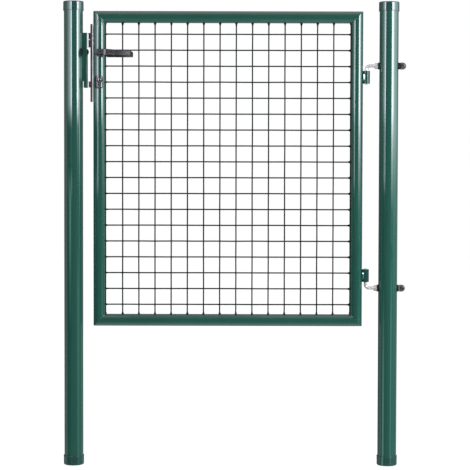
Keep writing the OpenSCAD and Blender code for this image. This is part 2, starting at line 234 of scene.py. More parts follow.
def finished(obj):
    # modifiers applied, so that the mesh is final
    graph = bpy.context.evaluated_depsgraph_get()
    mesh = bpy.data.meshes.new_from_object(obj.evaluated_get(graph))
    obj.modifiers.clear()
    old, obj.data = obj.data, mesh
    mesh.name = obj.name
    bpy.data.meshes.remove(old)
    return obj


def cutAway(obj, parts):
    for part in parts:
        tool = looseObject("cutter", part)
        cut = obj.modifiers.new("cut", "BOOLEAN")
        cut.operation, cut.solver, cut.object = "DIFFERENCE", "MANIFOLD", tool
        finished(obj)
        bpy.data.meshes.remove(tool.data)
    return obj


def softEdges(obj, width, segments=2, angle=40):
    bevel = obj.modifiers.new("edges", "BEVEL")
    bevel.width, bevel.segments = width, segments
    bevel.limit_method, bevel.angle_limit = "ANGLE", math.radians(angle)
    bevel.harden_normals = False
    return finished(obj)


def smoothed(obj, angle):
    obj.data.polygons.foreach_set("use_smooth", [True] * len(obj.data.polygons))
    obj.data.set_sharp_from_angle(angle=math.radians(angle))
    weigh = obj.modifiers.new("normals", "WEIGHTED_NORMAL")
    weigh.keep_sharp, weigh.weight = True, 60
    return finished(obj)


def placed(obj, body, nodes, finish, angle=32):
    smoothed(obj, angle)
    obj.data.materials.clear()
    obj.data.materials.append(finishes[finish])
    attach(obj, body)
    if nodes:
        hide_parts(*nodes)
    return obj


def makePiece(name, part, body, nodes, finish, angle=32):
    return placed(looseObject(name, part), body, nodes, finish, angle)


def repaint(obj, finish, chosen):
    # a second finish on the faces that chosen picks
    obj.data.materials.append(finishes[finish])
    for face in obj.data.polygons:
        if chosen(face):
            face.material_index = len(obj.data.materials) - 1


# shader nodes: a value is a number, a color of three numbers or another node's output

def feed(tree, socket, value):
    if isinstance(value, bpy.types.NodeSocket):
        tree.links.new(value, socket)
    else:
        socket.default_value = (*value, 1) if socket.type == "RGBA" else value


def feedAll(tree, sockets, **values):  # an underscore stands for a space
    for label, value in values.items():
        feed(tree, sockets[label.replace("_", " ")], value)


def node(tree, kind, settings=None, **values):
    made = tree.nodes.new("ShaderNode" + kind)
    for key, value in (settings or {}).items():
        setattr(made, key, value)
    feedAll(tree, made.inputs, **values)
    return made


def math2(tree, operation, first, second=0.0):
    made = node(tree, "Math", {"operation": operation})
    feed(tree, made.inputs[0], first)
    feed(tree, made.inputs[1], second)
    return made.outputs[0]


def plus(tree, first, second):
    return math2(tree, "ADD", first, second)


def minus(tree, first, second):
    return math2(tree, "SUBTRACT", first, second)


def times(tree, first, second):
    return math2(tree, "MULTIPLY", first, second)


def mapped(tree, value, low, high, toLow=0.0, toHigh=1.0):
    return node(tree, "MapRange", Value=value, From_Min=low, From_Max=high,
                To_Min=toLow, To_Max=toHigh).outputs[0]


def blendColors(tree, factor, first, second, mode="MIX"):
    made = node(tree, "Mix", {"data_type": "RGBA", "blend_type": mode})
    for index, value in ((0, factor), (6, first), (7, second)):
        feed(tree, made.inputs[index], value)
    return made.outputs[2]


def objectPlace(tree):
    return node(tree, "TexCoord").outputs["Object"]


def noise(tree, place, scale, detail, roughness):
    return node(tree, "TexNoise", Vector=place, Scale=scale, Detail=detail,
                Roughness=roughness).outputs[0]


def swung(tree, value, given):
    # a value round one half, turned into a roughness round the given one
    swing = times(tree, minus(tree, value, 0.5), given["Roughness Swing"])
    return plus(tree, swing, given["Roughness"])


# shader node groups, each an effect that several finishes share

effects = {}


def newGroup(name, inputs, outputs):
    group = effects[name] = bpy.data.node_groups.new(name, "ShaderNodeTree")
    for label, value in inputs.items():
        kind = "Float" if isinstance(value, float) else "Vector" if label == "Along" else "Color"
        socket = group.interface.new_socket(label, in_out="INPUT", socket_type="NodeSocket" + kind)
        socket.default_value = (*value, 1) if kind == "Color" else value
    for label in outputs:
        kind = "Color" if label == "Color" else "Float"
        group.interface.new_socket(label, in_out="OUTPUT", socket_type="NodeSocket" + kind)
    given, out = group.nodes.new("NodeGroupInput"), group.nodes.new("NodeGroupOutput")
    return group, given.outputs, out.inputs


def makeColorDrift():
    # slow cloudy changes of colour and gloss, as between batches and thicknesses of a coat
    group, given, out = newGroup("colorDrift", {
        "Color": (0.5, 0.5, 0.5), "Deep Color": (0.4, 0.4, 0.4), "Roughness": 0.3,
        "Roughness Swing": 0.05, "Scale": 6.0}, ["Color", "Roughness"])
    place = node(group, "Mapping", Vector=objectPlace(group), Scale=(1, 1, 0.45)).outputs[0]
    mask = mapped(group, noise(group, place, given["Scale"], 5.0, 0.62), 0.32, 0.68)
    feedAll(group, out, Color=blendColors(group, mask, given["Color"], given["Deep Color"]),
            Roughness=swung(group, mask, given))


def makeOrangePeel():
    # the shallow dimples of a sprayed or powdered coat, on top of a long slow wave
    group, given, out = newGroup("orangePeel", {"Scale": 700.0, "Wave": 0.5}, ["Height"])
    place = objectPlace(group)
    dimples = noise(group, place, given["Scale"], 2.0, 0.4)
    waves = times(group, noise(group, place, 34.0, 1.0, 0.4), given["Wave"])
    feedAll(group, out, Height=plus(group, dimples, waves))


def makeMouldGrain():
    # the pebbled skin of moulded plastic, with specks that catch more light
    group, given, out = newGroup("mouldGrain", {
        "Color": (0.02, 0.02, 0.02), "Speck Color": (0.06, 0.06, 0.07), "Scale": 1500.0,
        "Speck Amount": 0.5}, ["Color", "Height"])
    place = objectPlace(group)
    cells = node(group, "TexVoronoi", {"feature": "SMOOTH_F1"}, Vector=place, Scale=given["Scale"],
                 Smoothness=0.7)
    blotches = mapped(group, noise(group, place, 260.0, 6.0, 0.72), 0.5, 0.66)
    amount = times(group, blotches, given["Speck Amount"])
    feedAll(group, out, Height=cells.outputs[0],
            Color=blendColors(group, amount, given["Color"], given["Speck Color"]))


def makeDrawLines():
    # fine parallel lines from drawing, rolling or turning; Along presses the noise into streaks
    group, given, out = newGroup("drawLines", {
        "Along": (1, 1, 0.03), "Scale": 900.0, "Roughness": 0.3, "Roughness Swing": 0.12},
        ["Height", "Roughness"])
    pressed = node(group, "VectorMath", {"operation": "MULTIPLY"})
    feed(group, pressed.inputs[0], objectPlace(group))
    feed(group, pressed.inputs[1], given["Along"])
    lines = noise(group, pressed.outputs[0], given["Scale"], 3.0, 0.6)
    feedAll(group, out, Height=lines, Roughness=swung(group, lines, given))


def makeHandling():
    # rubbed edges and dust that has settled on what faces up
    group, given, out = newGroup("handling", {
        "Color": (0.5, 0.5, 0.5), "Edge Color": (0.6, 0.6, 0.6), "Edge Amount": 0.3,
        "Dust Color": (0.35, 0.34, 0.32), "Dust Amount": 0.1}, ["Color", "Dust Mask"])
    shape = node(group, "NewGeometry").outputs
    patches = noise(group, objectPlace(group), 120.0, 5.0, 0.7)
    edges = times(group, mapped(group, shape["Pointiness"], 0.53, 0.62), patches)
    upward = node(group, "SeparateXYZ", Vector=shape["Normal"]).outputs["Z"]
    dusty = times(group, mapped(group, upward, 0.35, 1.0), patches)
    dustMask = times(group, dusty, given["Dust Amount"])
    worn = blendColors(group, times(group, edges, given["Edge Amount"]), given["Color"],
                       given["Edge Color"])
    feedAll(group, out, Dust_Mask=dustMask,
            Color=blendColors(group, dustMask, worn, given["Dust Color"]))


def makeSpangle():
    # the crystal patches of hot zinc
    group, given, out = newGroup("spangle", {
        "Color": (0.6, 0.6, 0.62), "Patch Color": (0.42, 0.43, 0.46), "Scale": 130.0,
        "Roughness": 0.4, "Roughness Swing": 0.15}, ["Color", "Roughness"])
    cells = node(group, "TexVoronoi", {"feature": "F1"}, Vector=objectPlace(group),
                 Scale=given["Scale"], Randomness=1.0)
    gray = node(group, "SeparateColor", Color=cells.outputs["Color"]).outputs
    feedAll(group, out, Color=blendColors(group, gray[0], given["Color"], given["Patch Color"]),
            Roughness=swung(group, gray[1], given))


for makeEffect in (makeColorDrift, makeOrangePeel, makeMouldGrain, makeDrawLines, makeHandling,
                   makeSpangle):
    makeEffect()
print("effects made:", len(effects))


# finishes

def effect(tree, name, **values):
    made = tree.nodes.new("ShaderNodeGroup")
    made.node_tree = effects[name]
    feedAll(tree, made.inputs, **values)
    return made.outputs


def bumped(tree, heights, strength, distance):
    # several bumps in a row, each adding to the last one's normal
    normal = None
    for height, share in heights:
        bump = node(tree, "Bump", Strength=strength * share, Distance=distance, Height=height)
        if normal is not None:
            feedAll(tree, bump.inputs, Normal=normal)
        normal = bump.outputs["Normal"]
    return normal


def newFinish(name, **constants):
    material = bpy.data.materials.new(name)
    material.use_nodes = True
    tree = material.node_tree
    shader = tree.nodes["Principled BSDF"]
    feedAll(tree, shader.inputs, **constants)
    return material, tree, shader.inputs


def coated(name, look):
    return newFinish(name, IOR=look["ior"], Coat_Weight=look["coat"],
                     Coat_Roughness=look["coatRoughness"], Coat_IOR=look["coatIor"])


def handled(tree, look, color):
    return effect(tree, "handling", Color=color, Edge_Color=look["edgeColor"],
                  Edge_Amount=look["edge"], Dust_Color=look["dustColor"], Dust_Amount=look["dust"])


usualPaint = {
    "color": (0.0135, 0.079, 0.060), "deep": (0.0105, 0.068, 0.052), "roughness": 0.09,
    "swing": 0.03, "driftScale": 9.0, "peelScale": 560.0, "peel": 0.04, "peelDepth": 0.4 * mm,
    "wave": 2.0, "ior": 1.6, "coat": 0.9, "coatRoughness": 0.04, "coatIor": 1.7, "edge": 0.4,
    "edgeColor": (0.045, 0.13, 0.11), "dust": 0.10, "dustColor": (0.22, 0.24, 0.23),
    "dustRoughness": 0.8,
}
paintLook = {  # what differs from the usual paint
    "postPaint": {"driftScale": 5.0, "peelScale": 520.0, "wave": 3.0, "edge": 0.35},
    "leafPaint": {"driftScale": 7.0, "peel": 0.045, "wave": 2.4, "dust": 0.14},
    "strikePaint": {"color": (0.0050, 0.050, 0.036), "deep": (0.0040, 0.042, 0.030),
                    "roughness": 0.16, "swing": 0.06, "peelScale": 600.0, "peel": 0.08, "ior": 1.45,
                    "coat": 0.8, "coatRoughness": 0.06, "coatIor": 1.6, "edge": 0.5},
    "barrelPaint": {"color": (0.0105, 0.055, 0.046), "deep": (0.0085, 0.048, 0.040),
                    "roughness": 0.14, "swing": 0.04, "ior": 1.5, "coat": 0.3, "coatIor": 1.5,
                    "dust": 0.08},
    # painted highlight: a paler, more reflective copy of the paint for the hinge welds
    "weldPaint": {"color": (0.036, 0.120, 0.100), "deep": (0.024, 0.092, 0.076), "roughness": 0.12,
                  "ior": 1.8, "coat": 1.0, "coatRoughness": 0.07, "coatIor": 2.4, "edge": 0.3,
                  "dust": 0.05},
    "meshPaint": {"color": (0.004, 0.009, 0.008), "deep": (0.003, 0.007, 0.006), "roughness": 0.46,
                  "swing": 0.12, "driftScale": 30.0, "peelScale": 900.0, "peel": 0.25, "wave": 1.5,
                  "ior": 1.22, "coat": 0.0, "edge": 0.3, "dust": 0.06},
}


def makePaint(name):
    look = {**usualPaint, **paintLook[name]}
    material, tree, shader = coated(name, look)
    drift = effect(tree, "colorDrift", Color=look["color"], Deep_Color=look["deep"],
                   Roughness=look["roughness"], Roughness_Swing=look["swing"],
                   Scale=look["driftScale"])
    worn = handled(tree, look, drift["Color"])
    dulled = times(tree, worn["Dust Mask"], look["dustRoughness"])
    peel = effect(tree, "orangePeel", Scale=look["peelScale"], Wave=look["wave"])
    feedAll(tree, shader, Base_Color=worn["Color"],
            Roughness=plus(tree, drift["Roughness"], dulled),
            Normal=bumped(tree, [(peel["Height"], 1.0)], look["peel"], look["peelDepth"]))
    return material


usualPlastic = {
    "specks": 0.75, "grain": 1500.0, "bump": 0.3, "bumpDepth": 0.3 * mm, "driftScale": 45.0,
    "driftColor": (0.82, 0.83, 0.86), "roughness": 0.36, "swing": 0.12, "edge": 0.4, "ior": 1.49,
    "dust": 0.05, "dustColor": (0.2, 0.2, 0.2), "coat": 0.0, "coatRoughness": 0.1, "coatIor": 1.6,
}
plasticLook = {  # what differs from the usual plastic
    "capPlastic": {"color": (0.0135, 0.064, 0.054), "speck": (0.030, 0.098, 0.086), "specks": 0.35,
                   "grain": 1100.0, "bump": 0.07, "roughness": 0.11, "swing": 0.06, "edge": 0.3,
                   "ior": 1.75, "edgeColor": (0.05, 0.15, 0.13), "dust": 0.08, "coat": 0.8,
                   "coatRoughness": 0.06},
    "blackPlastic": {"color": (0.028, 0.024, 0.026), "speck": (0.14, 0.13, 0.14), "grain": 1100.0,
                     "bump": 0.08, "roughness": 0.34, "edge": 0.5, "ior": 1.40,
                     "edgeColor": (0.06, 0.06, 0.07), "dust": 0.08, "coat": 1.0},
    "saddlePlastic": {"color": (0.007, 0.010, 0.012), "speck": (0.016, 0.022, 0.024), "specks": 0.5,
                      "grain": 1000.0, "bump": 0.25, "roughness": 0.62, "ior": 1.35,
                      "edgeColor": (0.03, 0.04, 0.045), "dust": 0.08},
    # painted shade: a darker copy of the lever plastic for the tip and narrow sides
    "leverEdge": {"color": (0.004, 0.0035, 0.005), "speck": (0.012, 0.012, 0.015), "specks": 0.6,
                  "roughness": 0.55, "edge": 0.2, "ior": 1.15, "edgeColor": (0.03, 0.03, 0.035),
                  "dust": 0.02},
    # painted highlight: a paler copy of the lever plastic for the step that faces the light
    "leverWorn": {"color": (0.12, 0.112, 0.14), "speck": (0.22, 0.21, 0.25), "specks": 0.7,
                  "edgeColor": (0.3, 0.3, 0.33)},
    "leverPlastic": {"color": (0.017, 0.015, 0.018), "speck": (0.13, 0.125, 0.14), "bump": 0.4,
                     "roughness": 0.38, "swing": 0.14, "edge": 0.55,
                     # painted highlight: the grip turns paler over its last stretch towards the tip
                     "edgeColor": (0.10, 0.10, 0.11), "wornColor": (0.19, 0.185, 0.195),
                     "wornShare": 0.56, "wornRun": 42 * mm},
}


def makePlastic(name):
    look = {**usualPlastic, **plasticLook[name]}
    material, tree, shader = coated(name, look)
    grain = effect(tree, "mouldGrain", Color=look["color"], Speck_Color=look["speck"],
                   Scale=look["grain"], Speck_Amount=look["specks"])
    drift = effect(tree, "colorDrift", Roughness=look["roughness"], Roughness_Swing=look["swing"],
                   Scale=look["driftScale"], Color=(1, 1, 1), Deep_Color=look["driftColor"])
    tinted = blendColors(tree, 1.0, grain["Color"], drift["Color"], "MULTIPLY")
    shown = handled(tree, look, tinted)["Color"]
    heights = [(grain["Height"], 1.0)]
    if name == "leverPlastic":  # long scratches, and a painted highlight that pales the grip towards its tip
        streaks = effect(tree, "drawLines", Along=(0.05, 1, 1), Scale=700.0)
        heights.append((streaks["Height"], 0.8))
        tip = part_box("front_lever_grip")[1].x
        across = node(tree, "SeparateXYZ", Vector=objectPlace(tree)).outputs["X"]
        place = mapped(tree, across, tip - look["wornRun"], tip - 3 * mm)
        shown = blendColors(tree, times(tree, place, look["wornShare"]), shown, look["wornColor"])
    if name == "capPlastic":  # sink marks that bend the reflections
        dents = effect(tree, "orangePeel", Scale=260.0, Wave=4.0)
        heights.append((dents["Height"], 1.6))
    feedAll(tree, shader, Base_Color=shown, Roughness=drift["Roughness"],
            Normal=bumped(tree, heights, look["bump"], look["bumpDepth"]))
    return material


usualMetal = {"roughness": 0.36, "swing": 0.12, "along": (1, 1, 0.1), "lines": 700.0, "bump": 0.12,
              "bumpDepth": 0.3 * mm, "edge": 0.5, "dust": 0.05, "dustColor": (0.3, 0.3, 0.3)}
metalLook = {  # what differs from the usual metal
    "zincPlate": {"color": (0.90, 0.87, 0.89), "patch": (0.72, 0.68, 0.71), "spangle": 260.0,
                  "along": (0.05, 1, 1), "lines": 1100.0, "bump": 0.10, "edge": 0.3,
                  "edgeColor": (0.93, 0.93, 0.94), "metallic": 0.65},
    "forendSteel": {"color": (0.74, 0.72, 0.73), "patch": (0.60, 0.58, 0.60), "spangle": 150.0,
                    "swing": 0.14, "along": (1, 1, 0.04), "lines": 800.0,
                    "edgeColor": (0.78, 0.78, 0.80), "metallic": 0.6},
    # painted shade: a dark copy of the forend steel for the rims of its face
    "forendEdge": {"color": (0.050, 0.034, 0.042), "patch": (0.036, 0.025, 0.031), "spangle": 190.0,
                   "roughness": 0.42, "along": (1, 1, 0.05), "edge": 0.3,
                   "edgeColor": (0.16, 0.13, 0.15), "metallic": 0.5},
    # painted shade: steel darkened for the shade inside the stile
    "caseSteel": {"color": (0.13, 0.115, 0.12), "patch": (0.05, 0.047, 0.052), "spangle": 240.0,
                  "roughness": 0.26, "lines": 600.0, "bump": 0.14, "edge": 0.4,
                  "edgeColor": (0.4, 0.4, 0.42), "metallic": 0.9},
    "cylinderChrome": {"color": (0.42, 0.41, 0.42), "patch": (0.32, 0.315, 0.32), "spangle": 320.0,
                       "roughness": 0.20, "swing": 0.08, "along": (1, 0.04, 1), "lines": 1500.0,
                       "bump": 0.08, "edgeColor": (0.85, 0.83, 0.8), "dust": 0.04, "metallic": 1.0},
    "blackSteel": {"color": (0.007, 0.006, 0.008), "patch": (0.005, 0.005, 0.006), "spangle": 210.0,
                   "roughness": 0.38, "swing": 0.14, "bump": 0.14, "edge": 0.6,
                   "edgeColor": (0.12, 0.115, 0.12), "metallic": 0.3},
}


def makeMetal(name):
    look = {**usualMetal, **metalLook[name]}
    material, tree, shader = newFinish(name, Metallic=look["metallic"])
    patches = effect(tree, "spangle", Color=look["color"], Patch_Color=look["patch"],
                     Scale=look["spangle"], Roughness=0.0, Roughness_Swing=look["swing"])
    lines = effect(tree, "drawLines", Along=look["along"], Scale=look["lines"],
                   Roughness=look["roughness"], Roughness_Swing=look["swing"])
    feedAll(tree, shader, Base_Color=handled(tree, look, patches["Color"])["Color"],
            Roughness=plus(tree, lines["Roughness"], patches["Roughness"]),
            Normal=bumped(tree, [(lines["Height"], 1.0)], look["bump"], look["bumpDepth"]))
    return material


finishes = {}
for make, looks in ((makePaint, paintLook), (makePlastic, plasticLook), (makeMetal, metalLook)):
    finishes.update({name: make(name) for name in looks})
print("finishes made:", len(finishes))


# posts and their caps

postShape = {"sides": 128, "rings": 12, **lengths(radius=30, wall=1.5)}
capShape = {"sides": 96, **lengths(edge=3.4, skirtDraft=0.45, lip=2.4, lipRound=0.7, crown=0.6,
                                   crownRound=4, wall=2.6, floor=3)}


def makePost(name, cadNode):
    low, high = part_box(cadNode)
    radius, heights = (high.x - low.x) / 2, spread(low.z, high.z, postShape["rings"])
    outside = [(radius, z) for z in heights]
    inside = [(radius - postShape["wall"], z) for z in reversed(heights)]
    tube = turned(outside + inside, postShape["sides"], loop=True)
    makePiece(name, shifted(tube, middle(cadNode).x, 0, 0), "posts", [cadNode], "postPaint")


def makeCap(name, cadNode, upward):
    look = capShape
    low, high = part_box(cadNode)
    radius, height = (high.x - low.x) / 2, high.z - low.z
    skirt, lip, wall = radius - look["skirtDraft"], height - look["lip"], radius - look["wall"]
    profile = softened([  # closed end at zero, open end at the full height
        (0, 0, 0), (radius * 0.72, 0, look["crownRound"]),
        (skirt - 0.3 * mm, look["crown"], look["edge"]), (skirt, lip, 0.4 * mm),
        (radius, lip + 0.3 * mm, look["lipRound"]), (radius, height, look["lipRound"]),
        (wall, height, 0.5 * mm),
        (wall, look["floor"], 0.5 * mm), (0, look["floor"], 0)], 5)
    cap = turned(profile, look["sides"])
    if upward:
        cap = mirroredIn(cap, 2)
    cap = shifted(cap, middle(cadNode).x, 0, high.z if upward else low.z)
    makePiece(name, cap, "posts", [cadNode], "capPlastic", 24)


for side in ("hinge", "latch"):
    makePost(side + "PostTube", side + "_post")
for side in ("hinge", "latch"):
    makeCap(side + "PostTopCap", side + "_post_top_cap", True)
    makeCap(side + "PostFootCap", side + "_post_foot_cap", False)
print("posts made")


# leaf frame: round tube mitred at four corners, with the mitres dressed smooth

leafShape = {
    "sides": 96, "straightRings": 8, "beadDepth": 0.16, "beadTurn": 80,
    "stileRings": (1.0, 0.85, 0.7, 0.58),
    **lengths(mitreRound=2.2, straightFrom=27, wall=1.5, beadRadius=2.3, beadPitch=2.6,
              beadStand=0.2, windowHalf=12, windowTall=20.5, windowUp=1.5, windowRound=7,
              windowClear=8, leverHole=9, leverClear=16, forendClear=12, slotHalf=7.5, slotInset=8,
              slotDeep=9, through=30),
}


def frameRings(halfTube, left, right, bottom, top, levels):
    # rings in order round the leaf, and which of them are the mitres
    sides, clear = leafShape["sides"], leafShape["straightFrom"]
    turns = [2 * math.pi * i / sides for i in range(sides)]
    section = [(halfTube * math.cos(turn), halfTube * math.sin(turn)) for turn in turns]
    count = leafShape["straightRings"]

    def ring(x, z, inX, inZ):  # inX and inZ say which way is inward
        return [Vector((x + inX * u, v, z + inZ * u)) for u, v in section]

    heights = [top - clear] + sorted(levels, reverse=True) + [bottom + clear]
    rings = [ring(left, bottom, 1, 1)]
    rings += [ring(x, bottom, 0, 1) for x in spread(left + clear, right - clear, count)]
    rings += [ring(right, bottom, -1, 1)]
    rings += [ring(right, z, -1, 0) for z in spread(bottom + clear, top - clear, count)]
    rings += [ring(right, top, -1, -1)]
    rings += [ring(x, top, 0, -1) for x in spread(right - clear, left + clear, count)]
    rings += [ring(left, top, 1, -1)]
    rings += [ring(left, z, 1, 0) for z in heights]
    return rings, [corner * (count + 2) for corner in range(4)]


def makeLeafFrame():
    look, sides = leafShape, leafShape["sides"]
    halfTube = size("lock_stile").x / 2
    left, right = middle("lock_stile").x, middle("hinge_stile").x
    bottom, top = middle("bottom_rail").z, middle("top_rail").z
    forendLow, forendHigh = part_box("lock_forend")
    cylinderMid, leverMid = middle("lock_cylinder"), middle("lever_spindle")
    window, half, rounding = look["windowTall"], look["windowHalf"], look["windowRound"]
    forendClear, leverClear, clear = (look[key + "Clear"] for key in ("forend", "lever", "window"))
    levels = [forendHigh.z + forendClear, leverMid.z + leverClear, leverMid.z - leverClear,
              cylinderMid.z + window + clear, cylinderMid.z - window - clear,
              forendLow.z - forendClear, *look["stileRings"]]
    rings, mitres = frameRings(halfTube, left, right, bottom, top, levels)
    obj = looseObject("leafFrame", skinned(rings, loop=True, capped=False))
    work = bmesh.new()
    work.from_mesh(obj.data)
    crease = []
    for edge in work.edges:
        first, second = (v.index // sides for v in edge.verts)
        if first == second and first in mitres:
            crease.append(edge)
    bmesh.ops.bevel(work, geom=crease, offset=look["mitreRound"], segments=3, profile=0.5,
                    affect="EDGES")
    work.to_mesh(obj.data)
    work.free()
    thick = obj.modifiers.new("wall", "SOLIDIFY")
    thick.thickness, thick.offset = look["wall"], -1
    finished(obj)
    # openings for the lever's collar, the cylinder and the lock's bolts
    outline = softened([(-half, -window, rounding), (half, -window, rounding),
                        (half, window, rounding), (-half, window, rounding)], 4, True)
    reach, slotHalf, slotInset = look["through"], look["slotHalf"], look["slotInset"]
    through = alongY(extruded([(p.x, -p.y) for p in outline], -reach, reach))
    slot = block((left - halfTube - 2 * mm, -slotHalf, forendLow.z + slotInset),
                 (left - halfTube + look["slotDeep"], slotHalf, forendHigh.z - slotInset))
    hole = alongY(rod(look["leverHole"], -reach, reach, 48))
    cutAway(obj, [shifted(through, left, 0, cylinderMid.z + look["windowUp"]), slot,
                  shifted(hole, leverMid.x, 0, leverMid.z)])
    placed(obj, "leaf", ["top_rail", "bottom_rail", "lock_stile", "hinge_stile"], "leafPaint", 28)
    return halfTube, left, right, bottom, top


def makeMitreWelds(halfTube, left, right, bottom, top):
    look, parts = leafShape, []
    out = halfTube + look["beadStand"]
    for x, z, inX, inZ in ((left, bottom, 1, 1), (right, bottom, -1, 1), (right, top, -1, -1),
                           (left, top, 1, -1)):
        turns = [math.radians(look["beadTurn"] * (step / 20 - 1)) for step in range(41)]
        path = [(x + inX * (out * math.cos(a)), out * math.sin(a), z + inZ * (out * math.cos(a)))
                for a in turns]
        parts.append(bead(path, look["beadRadius"], look["beadPitch"], look["beadDepth"]))
    makePiece("mitreWelds", joined(parts), "leaf", [], "leafPaint", 50)


frameSizes = makeLeafFrame()
makeMitreWelds(*frameSizes)
print("leaf frame made")


# wire mesh, with a flared weld where each wire meets the frame

meshShape = {
    "sides": 10, "columns": 14, "rows": 18, "steps": 60, "seed": 41,
    "flareShare": {"left": 0.6, "right": 1.05, "bottom": 0.8, "top": 0.9},
    **lengths(wire=4.3, columnMargin=55, pitch=50.5, margin=30.5, edgeOff=0.6, edgeWire=4.3,
              bite=3.4, into=0.4, wander=0.35, calmFrom=30, droop=0.5, droopRun=6, nuggetLong=2.8,
              nuggetWide=1.7, flareLong=9, flareRadius=5),
}


def wireRadius(halfWire, length, chance, ends):
    # a wire that swells where it was melted onto the frame
    flare, extra = meshShape["flareLong"], meshShape["flareRadius"] - halfWire
    lumps = [chance.uniform(0.75, 1.1) * meshShape["flareShare"][end] for end in ends]
    lean = [chance.uniform(0, 2 * math.pi), chance.uniform(0, 2 * math.pi)]

    def radiusAt(travelled, turn):
        radius = halfWire
        for end, fromEnd in enumerate((travelled, length - travelled)):
            near = max(0, 1 - fromEnd / flare)
            radius += extra * lumps[end] * near ** 1.4 * (1 + 0.18 * math.cos(turn - lean[end]))
        return radius
    return radiusAt


def wirePath(start, end, sag, chance):
    # denser near the ends, where the flares are, with a slight wander of the drawn wire
    look, count = meshShape, meshShape["steps"]
    start, end = Vector(start), Vector(end)
    length = (end - start).length
    near = [k * look["flareLong"] / 6 for k in range(7)]
    far = [length * k / count for k in range(1, count)]
    far = [stop for stop in far if 8 * mm < stop < length - 8 * mm]
    waves = [(chance.uniform(0.1, 0.45), chance.uniform(0, 6.28), chance.uniform(0.3, 1.0))
             for k in range(3)]
    across = Vector((0, 0, 1)) if abs(end.x - start.x) > abs(end.z - start.z) else Vector((1, 0, 0))
    path = []
    for stop in near + far + [length - d for d in reversed(near)]:
        calm = min(1, min(stop, length - stop) / look["calmFrom"])
        wander = sum(a * math.sin(2 * math.pi * stop / w + p) for w, p, a in waves) / 3
        droop = sag * math.exp(-stop / look["droopRun"])
        path.append(start.lerp(end, stop / length) + across * (wander * look["wander"] * calm)
                    - Vector((0, 0, droop)))
    return path


def makeWireMesh(halfTube, left, right, bottom, top):
    look, chance = meshShape, random.Random(meshShape["seed"])
    halfWire, bite, into = look["wire"] / 2, look["bite"] / 2, look["into"]
    inLeft, inRight = left + halfTube, right - halfTube
    inBottom, inTop = bottom + halfTube, top - halfTube
    margin, edgeOff, sides = look["columnMargin"], look["edgeOff"], look["sides"]
    columns = spread(inLeft + margin, inRight - margin, look["columns"] - 1)
    rows = [inBottom + look["margin"] + i * look["pitch"] for i in range(look["rows"])]
    upright = [(x, halfWire) for x in columns]
    upright += [(x, look["edgeWire"] / 2) for x in (inLeft + edgeOff, inRight - edgeOff)]
    parts = []
    for x, half in upright:  # the last two are the mesh's own edge wires
        path = wirePath((x, -bite, inBottom - into), (x, -bite, inTop + into), 0, chance)
        radiusAt = wireRadius(half, inTop - inBottom, chance, ("bottom", "top"))
        parts.append(swept(path, radiusAt, sides))
    for z in rows:
        path = wirePath((inLeft - into, bite, z), (inRight + into, bite, z), look["droop"], chance)
        radiusAt = wireRadius(halfWire, inRight - inLeft, chance, ("left", "right"))
        parts.append(swept(path, radiusAt, sides))
    nugget = turned([(0, -1), (0.72, -0.7), (1, 0), (0.72, 0.7), (0, 1)], 8)
    for x in columns:
        for z in rows:
            long, wide = look["nuggetLong"] * chance.uniform(0.85, 1.1), look["nuggetWide"]
            squash = Matrix.Diagonal((long, wide, long, 1))
            turn = Matrix.Rotation(chance.uniform(0, 3), 4, "Y")
            parts.append(shifted(moved(nugget, squash @ turn), x, 0, z))
    makePiece("wireMesh", joined(parts), "leaf", ["mesh_panel"], "meshPaint", 60)


makeWireMesh(*frameSizes)
print("wire mesh made")


# hinges: barrels on the leaf, bent bolts through the post

hingeShape = lengths(
    barrelRadius=11, bore=5.15, barrelEdge=0.8, weldLeft=11.4, weldRight=4.6, weldPitch=3.2,
    weldDepth=0.12, weldInset=6, weldStand=11.6, weldSlope=2.6, weldBack=1, weldCrown=0.5, rod=5,
    bend=12, pinEdge=1, threadPitch=1.5, threadDepth=0.45, threadRun=7, nutAcross=17, nutHigh=8,
    nutSeat=36.5, capNutAcross=19.5, capNutStraight=7, saddleBore=5.2, saddleHalf=12,
    saddleWing=3.5, saddleSeat=5, saddleRoot=3)


def weldPool(pinX, bottom, top, side):
    # the weld in the groove between stile and barrel: broad, finely rippled, thin at its ends
    look, stepsUp, stepsAcross = hingeShape, 48, 10
    left, right = pinX - look["weldLeft"], pinX - look["weldRight"]
    rings = []
    for k in range(stepsUp + 1):
        t = k / stepsUp
        z = bottom + look["weldInset"] + (top - bottom - 2 * look["weldInset"]) * t
        full = math.sqrt(max(0.0, 1 - (2 * t - 1) ** 4))
        ripple = look["weldDepth"] * math.sin(2 * math.pi * (z - bottom) / look["weldPitch"])
        ring = []
        for i in range(stepsAcross + 1):
            u = i / stepsAcross
            crown = math.sin(math.pi * u) ** 0.7
            rise = look["weldStand"] - look["weldSlope"] * u - look["weldBack"]
            rise += look["weldCrown"] * crown + ripple * crown
            y = look["weldBack"] + rise * full * min(1, 6 * u + 0.5)
            ring.append((left + (right - left) * u * (0.55 + 0.45 * full), side * y, z))
        rings.append(ring + [(right, 0, z), (left, 0, z)])
    return skinned(rings)


def makeBarrel(name, cadNode):
    look = hingeShape
    low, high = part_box(cadNode)
    radius, bore, edge = look["barrelRadius"], look["bore"], look["barrelEdge"]
    pinX = high.x - radius
    outline = softened([(bore, low.z, edge / 2), (radius, low.z, edge), (radius, high.z, edge),
                        (bore, high.z, edge / 2)], 3, True)
    tube = shifted(turned(outline, 64, loop=True), pinX, 0, 0)
    welds = [weldPool(pinX, low.z, high.z, side) for side in (-1, 1)]
    obj = makePiece(name, joined([tube] + welds), "leaf", [cadNode], "barrelPaint", 40)
    # painted highlight: the welds get the paler paint, for the bright patch they show
    repaint(obj, "weldPaint", lambda face: face.index >= len(tube[1]))


